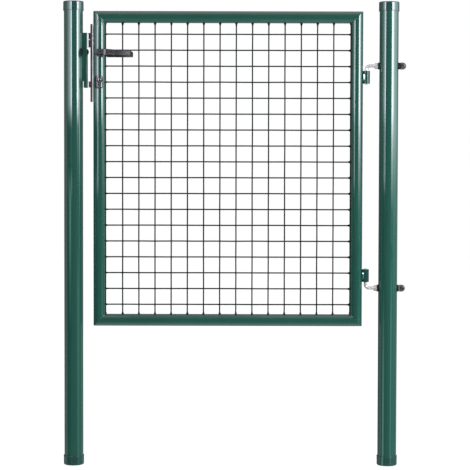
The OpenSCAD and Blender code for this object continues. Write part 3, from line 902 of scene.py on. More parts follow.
def makeHingeBolt(name, cadNode, rodZ, pinEnd):
    # the rod's outer end hides in the cap nut, the pin points towards the barrel
    look = hingeShape
    low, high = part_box(cadNode)
    radius, bend, pitch, edge = look["rod"], look["bend"], look["threadPitch"], look["pinEdge"]
    pinX, way = low.x + radius, 1 if pinEnd > rodZ else -1
    nutFace = -(look["nutSeat"] + look["nutHigh"])
    runStart = nutFace - look["threadRun"]
    path = [(high.x, 0, rodZ), (nutFace + 1 * mm, 0, rodZ)]
    stop = nutFace + 0.8 * mm
    while stop > runStart:
        path.append((stop, 0, rodZ))
        stop -= pitch / 6
    path.append((pinX + bend, 0, rodZ))
    for turn in spread(0, math.pi / 2, 16)[1:]:
        path.append((pinX + bend - bend * math.sin(turn), 0,
                     rodZ + way * bend * (1 - math.cos(turn))))
    path += [(pinX, 0, pinEnd - way * 0.02 * mm - way * edge * s) for s in (1, 0.5, 0)]
    threadFrom, threadTo = high.x - nutFace - 1 * mm, high.x - runStart
    length = sum((Vector(b) - Vector(a)).length for a, b in zip(path, path[1:]))

    def radiusAt(travelled, turn):
        r, fromEnd = radius, length - travelled
        if threadFrom < travelled < threadTo:
            wave = 1 - abs(2 * ((travelled / pitch - turn / (2 * math.pi)) % 1) - 1)
            r -= look["threadDepth"] * min(1, (threadTo - travelled) / pitch) * wave
        if fromEnd < edge:
            r -= (edge - fromEnd) * 0.7
        return r
    makePiece(name, swept(path, radiusAt, 36), "posts", [cadNode], "zincPlate", 45)


def makeTurnedPiece(name, cadNode, profile, sides, finish, angle, hexAcross=None, spin=0,
                    loop=True):
    # nuts and washers, turned about the rod and seated at the CAD piece's low end
    part = alongX(turned(profile, sides, hexAcross, loop))
    if spin:
        part = moved(part, Matrix.Rotation(math.radians(spin), 4, "X"))
    part = shifted(part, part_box(cadNode)[0].x, 0, middle(cadNode).z)
    makePiece(name, part, "posts", [cadNode], finish, angle)


def makeHingeNut(name, cadNode):
    across, bore, high = hingeShape["nutAcross"], hingeShape["rod"] * 0.98, size(cadNode).x
    flat, corner = across / 2, across / 2 / math.cos(math.pi / 6)
    chamfer = [(flat * 0.93, 0.0), (flat * 1.0, 0.35 * mm), (flat * 1.05, 0.8 * mm),
               (flat * 1.10, 1.35 * mm), (corner * 1.001, 1.9 * mm)]
    profile = [(bore, 0.4 * mm), (bore + 0.5 * mm, 0.0)] + chamfer
    profile += [(r, high - z) for r, z in reversed(chamfer)]
    profile += [(bore + 0.7 * mm, high), (bore, high - 0.6 * mm)]
    makeTurnedPiece(name, cadNode, profile, 72, "zincPlate", 30, across, 11)


def makeWasher(name, cadNode, finish):
    low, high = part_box(cadNode)
    thick, radius, bore = high.x - low.x, (high.z - low.z) / 2, hingeShape["rod"]
    outline = softened([(bore, 0, 0.2 * mm), (radius, 0, 0.35 * mm), (radius, thick, 0.35 * mm),
                        (bore, thick, 0.2 * mm)], 3, True)
    makeTurnedPiece(name, cadNode, outline, 56, finish, 32)


def makeCapNut(name, cadNode):
    across, straight = hingeShape["capNutAcross"], hingeShape["capNutStraight"]
    tall, corner = size(cadNode).x, across / 2 / math.cos(math.pi / 6)
    dome = tall - straight
    inward = (dome * dome - corner * corner) / (2 * corner)
    profile = [(0, 0.6 * mm), (corner * 0.93, 0.0), (corner * 0.985, 0.35 * mm), (corner, 1.0 * mm),
               (corner, straight)]
    for k in range(1, 15):
        z = dome * math.sin(math.pi / 2 * k / 14)
        around = math.sqrt(max(0, (inward + corner) ** 2 - z * z))
        profile.append((max(0, around - inward), straight + z))
    profile[-1] = (0, tall)
    makeTurnedPiece(name, cadNode, profile, 72, "blackPlastic", 24, across, loop=False)


def curvedPlate(inner, thick, halfWide, high, stepsAround=28, rim=1.1 * mm):
    # a plate that hugs a post on its +X side, thinning towards its rounded rim
    reach, half = math.asin(min(0.99, halfWide / (inner + thick))), high / 2
    levels = [(-half, 0.7), (-half + rim * 0.25, 0.2), (-half + rim, 0), (0, 0), (half - rim, 0),
              (half - rim * 0.25, 0.2), (half, 0.7)]
    rings = []
    for k in range(stepsAround + 1):
        t = 2 * k / stepsAround - 1
        turn, edge = reach * t, rim * 0.8 * max(0, (abs(t) - 0.94) / 0.06)
        places = [(inner + thick - max(rim * less, edge), z) for z, less in levels]
        places += [(inner, half), (inner, -half)]
        rings.append([(r * math.cos(turn), r * math.sin(turn), z) for r, z in places])
    return skinned(rings)


def makeSaddle(name, cadNode, centre, outward, wing, seat, halfWide):
    # wings that hug the post and a round seat for the washer or the channel
    tall, inner = size(cadNode).z, postShape["radius"]
    bore, root = hingeShape["saddleBore"], hingeShape["saddleRoot"]
    boss = softened([(bore, 0, 0), (tall / 2, 0, 0), (tall / 2, seat + root, 0.8 * mm),
                     (bore, seat + root, 0.3 * mm)], 4, True)
    bossPart = shifted(alongX(turned(boss, 48, loop=True)), inner - root, 0, 0)
    part = joined([curvedPlate(inner + 0.05 * mm, wing, halfWide, tall), bossPart])
    if not outward:
        part = mirroredIn(part, 0)
    part = shifted(part, centre, 0, middle(cadNode).z)
    makePiece(name, part, "posts", [cadNode], "saddlePlastic")


for level in ("upper", "lower"):
    makeBarrel(level + "HingeBarrel", level + "_hinge_barrel")
for level, pinCorner, outerFinish in (("upper", 0, "blackSteel"), ("lower", 1, "zincPlate")):
    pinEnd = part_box(level + "_hinge_bolt")[pinCorner].z
    makeHingeBolt(level + "HingeBolt", level + "_hinge_bolt", middle(level + "_cap_nut").z, pinEnd)
    makeHingeNut(level + "HingeNut", level + "_hinge_nut")
    makeWasher(level + "InnerWasher", level + "_inner_washer", "zincPlate")
    makeWasher(level + "OuterWasher", level + "_outer_washer", outerFinish)
    for side, outward in (("Inner", False), ("Outer", True)):
        makeSaddle(level + side + "Saddle", level + "_" + side.lower() + "_saddle", 0, outward,
                   hingeShape["saddleWing"], hingeShape["saddleSeat"], hingeShape["saddleHalf"])
    makeCapNut(level + "CapNut", level + "_cap_nut")
print("hinges made")


# strike: a folded channel bolted to the latch post

strikeShape = lengths(
    sheet=2, foldRound=2.4, edge=0.3, tabEdge=0.35, open=5.5, relief=3.5, reliefHigh=21,
    boltRadius=4, boltRun=60, headRadius=9, saddleThick=4, saddleHalf=23, collarRadius=34,
    collarHalf=11, hidden=4, past=5, overPost=2000)


def makeStrikeChannel():
    look = strikeShape
    low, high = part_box("strike_channel")
    latchLow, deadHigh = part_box("latch_bolt")[0].z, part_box("dead_bolt")[1].z
    boltZ, postX = middle("strike_bolt").z, middle("latch_post").x
    sheet, wide, faceX, fold = look["sheet"], high.y - low.y, high.x, look["foldRound"]
    deep, half, inside = high.x - low.x + look["hidden"], wide / 2, max(0.2 * mm, fold - sheet)
    section = softened([(deep, -half, 0), (0, -half, fold), (0, half, fold), (deep, half, 0),
                        (deep, half - sheet, 0), (sheet, half - sheet, inside),
                        (sheet, sheet - half, inside), (deep, sheet - half, 0)], 5, True)
    outline = [(faceX - p.x, p.y) for p in section]
    obj = looseObject("strikeChannel", extruded(outline, low.z, high.z))
    inner, past, under = half - sheet, faceX + look["past"], low.z - 1 * mm
    postRadius, collarHalf = postShape["radius"], look["collarHalf"]
    cutAway(obj, [
        shifted(rod(postRadius + 0.05 * mm, 0, look["overPost"], 96), postX, 0, 0),
        shifted(rod(look["collarRadius"], 0, 2 * collarHalf, 96), postX, 0, boltZ - collarHalf),
        shifted(alongX(rod(look["boltRadius"], 0, look["boltRun"], 32)), postX, 0, boltZ),
        block((postX, -inner, latchLow - look["open"]), (past, wide, high.z + 1 * mm)),
        block((postX, -inner, under), (past, inner, deadHigh + look["open"])),
        block((postX, -wide, under), (postX + postRadius + look["relief"], wide,
                                      low.z + look["reliefHigh"]))])
    softEdges(obj, look["edge"], 2, 50)
    placed(obj, "posts", ["strike_channel"], "strikePaint", 30)


def makeStrikeTab():
    obj = looseObject("strikeTab", block(*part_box("strike_tab")))
    placed(softEdges(obj, strikeShape["tabEdge"]), "posts", ["strike_tab"], "zincPlate")


def makeStrikeBolt():
    low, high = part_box("strike_bolt")
    headOut = high.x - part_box("strike_channel")[1].x
    headRadius, shank = strikeShape["headRadius"], strikeShape["boltRadius"]
    ball = (headRadius ** 2 + headOut ** 2) / (2 * headOut)
    tail = -(high.x - headOut - low.x)
    profile = [(0, headOut)]
    for k in range(1, 13):
        r = headRadius * math.sin(math.pi / 2 * k / 12)
        profile.append((r, headOut - ball + math.sqrt(ball * ball - r * r)))
    profile += [(headRadius, -0.0), (headRadius * 0.9, 0.0), (shank, 0.0), (shank, tail), (0, tail)]
    part = shifted(alongX(turned(profile, 56)), high.x - headOut, 0, middle("strike_bolt").z)
    makePiece("strikeBolt", part, "posts", ["strike_bolt"], "blackSteel", 35)


makeStrikeChannel()
makeStrikeTab()
makeSaddle("strikeSaddle", "strike_saddle", middle("latch_post").x, True,
           strikeShape["saddleThick"], strikeShape["saddleThick"], strikeShape["saddleHalf"])
makeStrikeBolt()
print("strike made")


# lock: forend, bolts, cylinder

lockShape = {
    "coverTurn": 46, "latchSplit": 0.52,
    **lengths(sheet=2, plate=5.8, step=0.5, intoTube=5, slotDeep=3, cornerDeep=2.4, edge=0.3,
              slide=0.3, endRound=3, screwRadius=4.2, screwInset=14, crossLong=2.4,
              crossWide=0.55, tubeClear=18.4, latchEdge=0.7, latchBevel=9, latchGroove=2.6,
              latchFlat=4, latchBulge=0.7, latchRoot=1.5, tailStart=1.8, deadEdge=0.6,
              cylinderRound=8.5, webHalf=5, webDrop=19.5, cylinderEdge=1.1, plugRadius=6.5,
              plugPlay=0.12, plugRim=2.6, plugCrown=1.6, coverRadius=17.2, coverThick=0.9,
              coverUp=25, coverDown=23, keyWide=2.6, keyHigh=8.5, keyDeep=6, through=30),
}


def makeForend():
    look = lockShape
    low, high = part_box("lock_forend")
    wide, deep, sheet = high.y - low.y, high.x - low.x + look["intoTube"], look["sheet"]
    half, step, plate = wide / 2, look["step"], look["plate"]
    points = [(deep, step - half, 0), (plate, step - half, 0), (plate, -half, 0.3 * mm),
              (0, -half, 0.9 * mm), (0, half, 0.9 * mm), (plate, half, 0.3 * mm),
              (plate, half - step, 0), (deep, half - step, 0), (deep, half - sheet, 0),
              (sheet, half - sheet, 0.4 * mm), (sheet, sheet - half, 0.4 * mm),
              (deep, sheet - half, 0)]
    outline = [(low.x + p.x, p.y) for p in softened(points, 4, True)]
    obj = looseObject("lockForend", extruded(outline, low.z, high.z))
    stileX, rounding = middle("lock_stile").x, look["endRound"]
    slide, reach = look["slide"], look["through"]
    cuts = [block((stileX - look["tubeClear"], -reach, low.z - 1 * mm),
                  (stileX, reach, high.z + 1 * mm))]
    corner = [(0, 0)] + [(rounding * (1 - math.cos(a)), rounding * (1 - math.sin(a)))
                         for a in spread(0, math.pi / 2, 6)]
    upright = Matrix(((0, 0, 1, 0), (1, 0, 0, 0), (0, 1, 0, 0), (0, 0, 0, 1)))
    for z, way in ((low.z, 1), (high.z, -1)):  # ends of the face are cut round
        for side in (-1, 1):
            shape = [(side * (wide / 2 + 0.01 * mm - u), z - way * 0.01 * mm + way * v)
                     for u, v in corner]
            cut = extruded(shape, low.x - 1 * mm, low.x + look["cornerDeep"])
            cuts.append(moved(cut, upright))
    for bolt in ("latch_bolt", "dead_bolt"):
        boltLow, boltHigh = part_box(bolt)
        cuts.append(block((low.x - 1 * mm, boltLow.y - slide, boltLow.z - slide),
                          (low.x + look["slotDeep"], boltHigh.y + slide, boltHigh.z + slide)))
    cutAway(obj, cuts)
    softEdges(obj, look["edge"], 2, 50)
    placed(obj, "leaf", ["lock_forend"], "forendSteel", 30)
    # painted shade: the side rims of the face get the dark copy of the steel
    repaint(obj, "forendEdge", lambda face: face.center.x < low.x + plate
            and abs(face.center.y) > half - 1 * mm)


def makeForendScrews():
    look, screws = lockShape, []
    low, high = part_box("lock_forend")
    radius, long, wide = look["screwRadius"], look["crossLong"], look["crossWide"]
    profile = [(0, 0.35 * mm), (radius * 0.5, 0.33 * mm), (radius * 0.9, 0.2 * mm), (radius, 0),
               (radius * 0.9, -0.3 * mm), (0, -0.3 * mm)]
    head = moved(alongX(turned(profile, 36)), Matrix.Scale(-1, 4, (1, 0, 0)))
    for z in (low.z + look["screwInset"], high.z - look["screwInset"]):
        cross = [block((low.x - 1 * mm, -y, z - tall), (low.x - 0.05 * mm, y, z + tall))
                 for y, tall in ((wide, long), (long, wide))]
        screws.append(asPart(cutAway(looseObject("screw", shifted(head, low.x, 0, z)), cross)))
    makePiece("forendScrews", joined(screws), "leaf", [], "zincPlate")


def makeLatch():
    # two bevelled heads on one tail, with the groove between them
    look = lockShape
    low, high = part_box("latch_bolt")
    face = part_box("lock_forend")[0].x
    half, bevel = (high.y - low.y) / 2, look["latchBevel"]
    flat, bulge = look["latchFlat"], look["latchBulge"]
    grooveLow = low.z + (high.z - low.z) * look["latchSplit"]
    rootX = face + look["latchRoot"]
    # the slope bulges a little, as on a worn casting
    nose = [(rootX, -half), (rootX, half), (low.x, half), (low.x, half - flat)]
    for t in spread(0, 1, 6)[1:]:
        out = bulge * math.sin(math.pi * t)
        nose.append((low.x + bevel * t - out * 0.6, (half - flat) * (1 - t) - half * t - out * 0.5))
    parts = []
    for z0, z1 in ((low.z, grooveLow), (grooveLow + look["latchGroove"], high.z)):
        head = looseObject("head", extruded(nose, z0, z1))
        parts.append(asPart(softEdges(head, look["latchEdge"], 3, 50)))
    parts.append(block((face - look["tailStart"], -half + 1 * mm, low.z + 2 * mm),
                       (high.x, half - 1 * mm, high.z - 2 * mm)))
    makePiece("latchBolt", joined(parts), "latch", ["latch_bolt"], "blackSteel", 40)


def makeDeadBolt():
    obj = looseObject("deadBolt", block(*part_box("dead_bolt")))
    placed(softEdges(obj, lockShape["deadEdge"], 3), "deadbolt", ["dead_bolt"], "blackSteel", 40)


def cylinderOutline():
    # the pear shape of the cylinder, plug end up, as (across, up)
    big, small, drop = lockShape["cylinderRound"], lockShape["webHalf"], lockShape["webDrop"]
    meet = math.asin(small / big)
    around = [-math.pi / 2 + meet + (2 * math.pi - 2 * meet) * k / 40 for k in range(41)]
    under = [math.pi - math.pi * k / 16 for k in range(17)]
    return ([(big * math.cos(a), big * math.sin(a)) for a in around]
            + [(small * math.cos(a), -drop - small * math.sin(a)) for a in under])


def makeCylinder():
    plug, length = middle("cylinder_plug"), size("lock_cylinder").y
    body = alongY(extruded([(x, -y) for x, y in cylinderOutline()], -length / 2, length / 2))
    obj = looseObject("lockCylinder", shifted(body, plug.x, 0, plug.z))
    bore = alongY(rod(lockShape["plugRadius"] + lockShape["plugPlay"], -40 * mm, 40 * mm, 56))
    cutAway(obj, [shifted(bore, plug.x, 0, plug.z)])
    softEdges(obj, lockShape["cylinderEdge"], 2, 50)
    placed(obj, "leaf", ["lock_cylinder"], "cylinderChrome", 30)


def makePlug():
    look = lockShape
    plug, length, radius = middle("cylinder_plug"), size("cylinder_plug").y, look["plugRadius"]
    rim, crown = look["plugRim"], look["plugCrown"]
    end = length / 2 + crown
    outline = softened([(0, -end, 0), (radius * 0.55, -end, 1.5 * mm), (radius, -end + crown, rim),
                        (radius, 0, 0), (radius, end - crown, rim), (radius * 0.55, end, 1.5 * mm),
                        (0, end, 0)], 5)
    obj = looseObject("cylinderPlug", shifted(alongY(turned(outline, 56)), plug.x, 0, plug.z))
    wide, tall, cuts = look["keyWide"], look["keyHigh"], []
    for side in (-1, 1):  # a keyway with a step in it
        y0, y1 = sorted((side * length / 2 + side * 1 * mm, side * (length / 2 - look["keyDeep"])))
        cuts.append(block((plug.x - wide / 2, y0, plug.z - tall / 2),
                          (plug.x + wide * 0.12, y1, plug.z + tall * 0.18)))
        cuts.append(block((plug.x - wide * 0.12, y0, plug.z - tall * 0.2),
                          (plug.x + wide / 2, y1, plug.z + tall / 2)))
    placed(cutAway(obj, cuts), "core", ["cylinder_plug"], "cylinderChrome", 30)


def makeCaseCover():
    # bare sheet that closes the stile's opening, bent to the tube's curve, front and back; its
    # steel is darkened as painted shade inside the tube
    look, overlap = lockShape, 0.2 * mm
    plug, stileX = middle("cylinder_plug"), middle("lock_stile").x
    outer, inner = look["coverRadius"], look["coverRadius"] - look["coverThick"]
    reach, webHalf = look["through"], look["webHalf"]
    turns = [math.radians(look["coverTurn"]) * (k / 14 - 1) for k in range(29)]
    outline = [(outer * math.sin(a), -outer * math.cos(a)) for a in turns]
    outline += [(inner * math.sin(a), -inner * math.cos(a)) for a in reversed(turns)]
    hole = alongY(rod(look["cylinderRound"] - overlap, -reach, reach, 40))
    web = block((plug.x - webHalf + overlap, -reach, plug.z - look["webDrop"] - 4 * mm),
                (plug.x + webHalf - overlap, reach, plug.z))
    parts = []
    for side in (1, -1):
        sheet = extruded([(stileX + x, side * y) for x, y in outline[::side]],
                         plug.z - look["coverDown"], plug.z + look["coverUp"])
        cover = cutAway(looseObject("cover", sheet), [shifted(hole, plug.x, 0, plug.z), web])
        parts.append(asPart(cover))
    makePiece("lockCaseCovers", joined(parts), "leaf", [], "caseSteel", 40)


makeForend()
makeForendScrews()
makeCaseCover()
makeLatch()
makeDeadBolt()
makeCylinder()
makePlug()
# painted shade: the lock case also takes the darkened steel
for cadNode, finish in (("lock_case", "caseSteel"), ("lever_spindle", "zincPlate")):
    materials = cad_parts[cadNode].data.materials
    materials.clear()
    materials.append(finishes[finish])
print("lock made")


# levers: one moulding each, a rounded hub that steps down to a flat grip

leverShape = lengths(
    back=14, length=116, front=-48, rear=-36, hubTop=11.7, hubBottom=-7.6, hubRun=9, hubBulge=2.2,
    hubEnd=15.2, stepEnd=20.4, gripTop=8.2, gripBottom=-10.1, gripDrop=3.3, topRun=34, corner=2.2,
    tipCut=1.4, tipFall=3.4, tipBend=2.8, tipDark=2.8, neckRadius=12, neckWaist=10.4, neckIn=-37,
    waistIn=-33, waistOut=-27, neckOut=-23.5,
    collarRadius=8, collarIn=-21.2, collarOut=-14.2, seam=0.35)


def leverSection(front, back, top, bottom, rounding):
    # a closed ring of (depth, height) points, front face first
    return softened([(front, bottom, rounding), (front, top, rounding), (back, top, rounding * 0.8),
                     (back, bottom, rounding * 0.8)], 5, True)


def leverStations():
    # (x from the spindle, front depth, back depth, top, bottom, corner rounding)
    look = leverShape
    front, back, corner = look["front"], look["rear"], look["corner"]
    hubTop, hubBottom = look["hubTop"], look["hubBottom"]
    gripTop, gripBottom = look["gripTop"], look["gripBottom"]
    dropped, tip, rows = front + look["gripDrop"], look["length"] - look["back"], []
    mid, halfTall = (hubTop + hubBottom) / 2, (hubTop - hubBottom) / 2
    for t in spread(0, 1, 10):  # the rounded end behind the spindle
        bulge = math.sin(math.acos(1 - t)) if t < 1 else 1
        tall = halfTall * max(0.28, bulge)
        rows.append((-look["back"] + look["hubRun"] * t, front + look["hubBulge"] * (1 - bulge),
                     back, mid + tall, mid - tall, corner * (0.6 + 0.4 * bulge)))
    hubEnd, stepEnd = look["hubEnd"], look["stepEnd"]
    rows += [(hubEnd - 1.2 * mm, front, back, hubTop, hubBottom, corner),
             (hubEnd, front, back, hubTop, hubBottom - 0.2 * mm, corner),
             (stepEnd - 0.5 * mm, dropped - 0.1 * mm, back, hubTop, gripBottom + 0.3 * mm, corner),
             (stepEnd + 0.5 * mm, dropped, back, hubTop - 0.05 * mm, gripBottom, corner)]
    for k in range(1, 9):  # the top edge falls to the grip's height, past the mould's seam
        t = k / 8
        x = stepEnd + look["topRun"] * 1.4 * t
        top = hubTop + (gripTop - hubTop) * (t * t * (3 - 2 * t))
        rows.append((x, dropped + (look["seam"] if k == 3 else 0), back, top, gripBottom, corner))
    cut, fall = look["tipCut"], look["tipFall"]
    run = tip - cut - 1.6 * mm - x
    for t in spread(0, 1, 7)[1:]:  # the front bends back a little towards the tip
        bent = dropped + look["tipBend"] * t * t
        rows.append((x + run * t, bent, back, gripTop, gripBottom, corner))
    dropped += look["tipBend"]
    for t in spread(0, 1, 6)[1:]:  # the outer top corner is cut, the end is rounded off
        rows.append((tip - cut * (1 - t) - 0.8 * mm, dropped + 1.2 * mm * t ** 3,
                     back - 0.9 * mm * t ** 3, gripTop - fall * t ** 1.3,
                     gripBottom + 1.0 * mm * t ** 3, corner * (1 - 0.3 * t)))
    rows.append((tip, dropped + 2.6 * mm, back - 2.2 * mm, gripTop - fall - 1.2 * mm,
                 gripBottom + 2.6 * mm, corner * 0.6))
    return rows


def makeLever(name, nodes, rear):
    look, spindle = leverShape, middle("lever_spindle")
    radius, waist, inner = look["neckRadius"], look["neckWaist"], look["neckIn"]
    collar, collarIn, collarOut = look["collarRadius"], look["collarIn"], look["collarOut"]
    neck = softened([(0, inner, 0), (radius * 0.96, inner, 0.5 * mm),
                     (waist, look["waistIn"], 1.5 * mm), (waist, look["waistOut"], 1.5 * mm),
                     (radius, look["neckOut"], 0.8 * mm), (radius, collarIn, 0.5 * mm),
                     (collar, collarIn, 0.3 * mm), (collar, collarOut, 0.5 * mm),
                     (0, collarOut, 0)], 4)
    rings = [[(x, p.x, p.y) for p in leverSection(*shape)] for x, *shape in leverStations()]
    part = joined([skinned(rings), alongY(turned(neck, 56))])
    if rear:
        part = mirroredIn(part, 1)
    part = shifted(part, spindle.x, 0, spindle.z)
    obj = makePiece(name, part, "handle", nodes, "leverPlastic", 30)
    tip, step = spindle.x + look["length"] - look["back"], spindle.x + look["stepEnd"] + 1 * mm

    def dark(face):  # painted shade: the tip and the narrow sides are painted darker, where they turn away from the light
        onSide = abs(face.normal.z) > 0.3 and abs(face.center.y) > 35 * mm
        return onSide or face.center.x > tip - look["tipDark"]

    def worn(face):  # painted highlight: the step that faces the right-hand light is painted paler
        return (not dark(face) and abs(face.normal.y) > 0.5 and face.normal.x > 0.25
                and face.center.x < step)
    repaint(obj, "leverEdge", dark)
    repaint(obj, "leverWorn", worn)


makeLever("frontLever", ["front_lever_neck", "front_lever_grip"], False)
makeLever("rearLever", ["rear_lever_neck", "rear_lever_grip"], True)
print("levers made")


# floor, lights and camera

stageLook = {
    "floorHalf": 9.0, "floorColor": (0.08, 0.08, 0.08), "floorGlow": 0.97, "ambient": 0.5,
    "overhead": 0.60, "horizon": 0.05, "underneath": 0.45, "falloff": 4.0, "backLeft": 0.10,
    "backRight": 0.30,
}

# glowing sheets: start and end in plan, glow along the run, and glow by height
panelLook = [
    {"name": "leftPanel", "start": (-1.40, -1.56), "end": (-2.90, -0.36), "peak": 7.8,
     "color": (0.84, 0.93, 1.0),
     "run": [(0.0, 1.0), (0.08, 1.0), (0.19, 0.50), (0.26, 0.42), (0.40, 0.29), (0.60, 0.17),
             (0.82, 0.09), (1.0, 0.06)],
     "rise": [(-0.9, 0.02), (0.6, 0.01), (0.80, 0.02), (0.87, 0.36), (1.10, 0.40), (1.20, 1.0),
              (2.8, 1.0)]},
    {"name": "leftWall", "start": (-2.90, -0.36), "end": (-2.60, 1.20), "peak": 0.34,
     "color": (0.96, 1.0, 1.0), "run": [(0.0, 1.0), (1.0, 0.6)], "rise": [(-0.9, 1.0), (2.8, 1.0)]},
    {"name": "rightPanel", "start": (1.15, -2.02), "end": (1.95, -0.96), "peak": 9.2,
     "color": (0.91, 0.95, 1.0), "run": [(0.0, 1.0), (0.50, 1.0), (0.76, 0.66), (1.0, 0.36)],
     "rise": [(-0.9, 0.015), (0.1, 0.02), (0.72, 0.03), (0.86, 0.18), (0.95, 0.29), (1.06, 0.52),
              (1.18, 1.0), (2.8, 1.0)]},
    {"name": "rightWall", "start": (1.95, -0.95), "end": (2.40, 1.20), "peak": 3.0,
     "color": (0.82, 0.95, 1.0), "run": [(0.0, 1.0), (0.4, 0.62), (1.0, 0.30)],
     "rise": [(-0.9, 0.07), (0.1, 0.09), (0.60, 0.14), (0.80, 0.32), (1.10, 1.0), (2.8, 1.0)]},
    # faint ones close in front of each post, and a low card off to the right
    {"name": "latchGlint", "start": (-1.012, -0.05), "end": (-1.042, -0.05), "peak": 1.05,
     "color": (0.62, 1.0, 0.92), "run": [(0.0, 0.0), (0.3, 1.0), (0.7, 0.9), (1.0, 0.0)],
     "rise": [(0.40, 0.0), (0.53, 0.25), (0.61, 0.45), (0.69, 0.8), (0.77, 1.0), (0.85, 1.0),
              (0.91, 0.4), (0.96, 0.0)]},
    {"name": "hingeGlint", "start": (-0.030, -0.05), "end": (-0.085, -0.05), "peak": 1.05,
     "color": (0.60, 1.0, 0.92), "run": [(0.0, 0.0), (0.25, 1.0), (0.75, 1.0), (1.0, 0.0)],
     "rise": [(-0.1, 1.0), (0.2, 1.0), (0.36, 0.7), (0.45, 0.45), (0.55, 0.15), (0.62, 0.0)]},
    {"name": "lowCard", "start": (0.66, -1.33), "end": (1.04, -0.87), "peak": 0.75,
     "color": (0.72, 0.98, 1.0),
     "run": [(0.0, 0.0), (0.25, 0.9), (0.5, 1.0), (0.75, 0.9), (1.0, 0.0)],
     "rise": [(-0.5, 0.8), (0.35, 1.0), (0.48, 0.5), (0.62, 0.0)]},
]

# dark cloths beside the latch post, which end its bright reflections higher up than the leaf's
flagLook = [
    {"name": "leftFlag", "start": (-1.62, -0.16), "end": (-1.035, -0.16), "cover": 0.9,
     "rise": [(0.86, 0.0), (0.95, 1.0), (1.07, 1.0), (1.15, 0.0)]},
    {"name": "rightFlag", "start": (-0.86, -0.16), "end": (-0.40, -0.16), "cover": 0.85,
     "rise": [(0.70, 0.0), (0.86, 1.0), (1.08, 1.0), (1.18, 0.0)]},
]

fillLook = [  # lights for the dull part of the shading only
    {"name": "frontFill", "at": (0.6, -3.4, 2.4), "aim": (-0.5, 0, 0.7), "size": 2.2, "power": 60},
    {"name": "sideFill", "at": (2.3, -1.1, 0.9), "aim": (-0.1, 0, 0.6), "size": 1.3, "power": 63},
    {"name": "rearFill", "at": (-1.2, 3.2, 2.2), "aim": (-0.5, 0, 0.7), "size": 2.6, "power": 70},
]

cameraLook = {"distance": 5.0, "across": 1.4937, "x": -0.4869, "height": 1.0212, "shiftY": -0.075,
              "tilt": 2.0, "roll": 0.133, "sensor": 36.0, "near": 0.05, "far": 60.0}


def ramped(tree, axis, stops):
    # a value read off (place, value) pairs along one world axis
    place = node(tree, "SeparateXYZ", Vector=node(tree, "NewGeometry").outputs["Position"]).outputs
    first, last = stops[0][0], stops[-1][0]
    ramp = node(tree, "ValToRGB")
    feed(tree, ramp.inputs[0], mapped(tree, place[axis], first, last))
    elements = ramp.color_ramp.elements
    while len(elements) < len(stops):
        elements.new(0.5)
    for stop, (at, value) in zip(elements, stops):
        stop.position, stop.color = (at - first) / (last - first), (value, value, value, 1)
    return ramp.outputs[0]


def hangSheet(look, material):
    # an upright sheet that only shows in reflections
    start, end, low, high = look["start"], look["end"], look["rise"][0][0], look["rise"][-1][0]
    corners = [(*start, low), (*end, low), (*end, high), (*start, high)]
    obj = looseObject(look["name"], (corners, [(0, 1, 2, 3)]))
    obj.data.materials.append(material)
    obj.visible_camera = obj.visible_diffuse = obj.visible_transmission = obj.visible_shadow = False


def makePanel(look):
    first, last = look["start"][0], look["end"][0]
    material, tree, shader = newFinish(look["name"] + "Glow", Base_Color=(0, 0, 0),
                                       Specular_IOR_Level=0.0, Emission_Strength=look["peak"])
    along = ramped(tree, "X", [(first + (last - first) * at, share) for at, share in look["run"]])
    tint = blendColors(tree, 1.0, along, look["color"], "MULTIPLY")
    glow = blendColors(tree, 1.0, tint, ramped(tree, "Z", look["rise"]), "MULTIPLY")
    feedAll(tree, shader, Emission_Color=glow)
    material.cycles.emission_sampling = "NONE"
    hangSheet(look, material)


def makeFlag(look):
    material, tree, shader = newFinish(look["name"] + "Cloth", Base_Color=(0.002, 0.002, 0.002),
                                       Roughness=1.0, Specular_IOR_Level=0.0)
    feedAll(tree, shader, Alpha=times(tree, ramped(tree, "Z", look["rise"]), look["cover"]))
    hangSheet(look, material)


def makeFloor():
    half = stageLook["floorHalf"]
    corners = [(x, y, 0) for x, y in ((-half, -half), (half, -half), (half, half), (-half, half))]
    floor = looseObject("studioFloor", (corners, [(0, 1, 2, 3)]))
    floor.data.materials.append(newFinish(
        "studioFloorPaint", Roughness=0.9, Base_Color=stageLook["floorColor"],
        Emission_Color=(1, 1, 1), Emission_Strength=stageLook["floorGlow"])[0])
    floor.visible_glossy = False


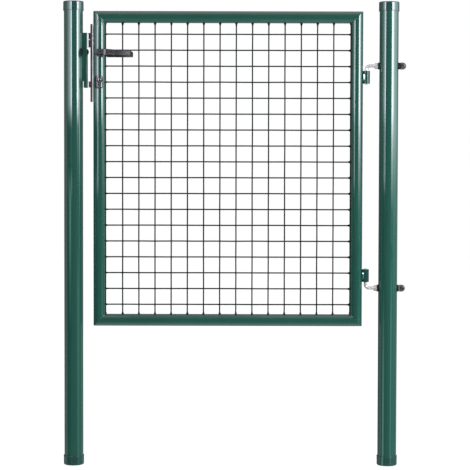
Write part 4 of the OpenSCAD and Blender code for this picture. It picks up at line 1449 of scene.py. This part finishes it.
def makeWorld():
    look = stageLook
    world = scene.world = bpy.data.worlds.new("studio")
    world.use_nodes = True
    tree = world.node_tree
    tree.nodes.clear()
    ray = node(tree, "LightPath").outputs
    way = node(tree, "SeparateXYZ", Vector=node(tree, "TexCoord").outputs["Generated"]).outputs
    gloss = look["horizon"]
    for sign, share in ((1.0, "overhead"), (-1.0, "underneath")):
        steep = math2(tree, "MAXIMUM", times(tree, way["Z"], sign))
        steep = math2(tree, "POWER", steep, look["falloff"])
        gloss = plus(tree, times(tree, steep, look[share]), gloss)
    # a pale band behind the gate, strongest half way to the side
    behind = math2(tree, "ABSOLUTE", minus(tree, times(tree, way["Y"], 2.0), 1.0))
    behind = math2(tree, "MAXIMUM", minus(tree, 1.0, behind))
    sideways = mapped(tree, way["X"], -0.3, 0.3, look["backLeft"], look["backRight"])
    gloss = plus(tree, times(tree, behind, sideways), gloss)
    dull = times(tree, minus(tree, 1.0, ray["Is Glossy Ray"]), look["ambient"])
    strength = plus(tree, times(tree, ray["Is Glossy Ray"], gloss), dull)
    mix = node(tree, "MixShader")
    feed(tree, mix.inputs[0], ray["Is Camera Ray"])
    for index, glow in ((1, strength), (2, 1.0)):
        light = node(tree, "Background", Color=(1, 1, 1), Strength=glow)
        feed(tree, mix.inputs[index], light.outputs[0])
    feed(tree, node(tree, "OutputWorld").inputs[0], mix.outputs[0])


def makeFill(look):
    data = bpy.data.lights.new(look["name"], "AREA")
    data.shape, data.size, data.energy = "SQUARE", look["size"], look["power"]
    obj = bpy.data.objects.new(look["name"], data)
    obj.location = look["at"]
    facing = Vector(look["aim"]) - Vector(look["at"])
    obj.rotation_euler = facing.to_track_quat("-Z", "Y").to_euler()
    obj.visible_camera = obj.visible_glossy = False
    scene.collection.objects.link(obj)


def makeCamera():
    look = cameraLook
    data = bpy.data.cameras.new("studioCamera")
    data.sensor_width, data.shift_y = look["sensor"], look["shiftY"]
    data.lens = look["sensor"] * look["distance"] / look["across"]
    data.clip_start, data.clip_end = look["near"], look["far"]
    data.dof.use_dof = False
    camera = bpy.data.objects.new("studioCamera", data)
    camera.location = (look["x"], -look["distance"], look["height"])
    turn = Matrix.Rotation(math.pi / 2 - math.radians(look["tilt"]), 4, "X")
    turn = turn @ Matrix.Rotation(math.radians(look["roll"]), 4, "Z")
    camera.rotation_euler = turn.to_euler()
    scene.collection.objects.link(camera)
    scene.camera = camera


makeFloor()
makeWorld()
for make, looks in ((makePanel, panelLook), (makeFlag, flagLook), (makeFill, fillLook)):
    for look in looks:
        make(look)
makeCamera()
scene.view_settings.view_transform = "Standard"
print("stage made")
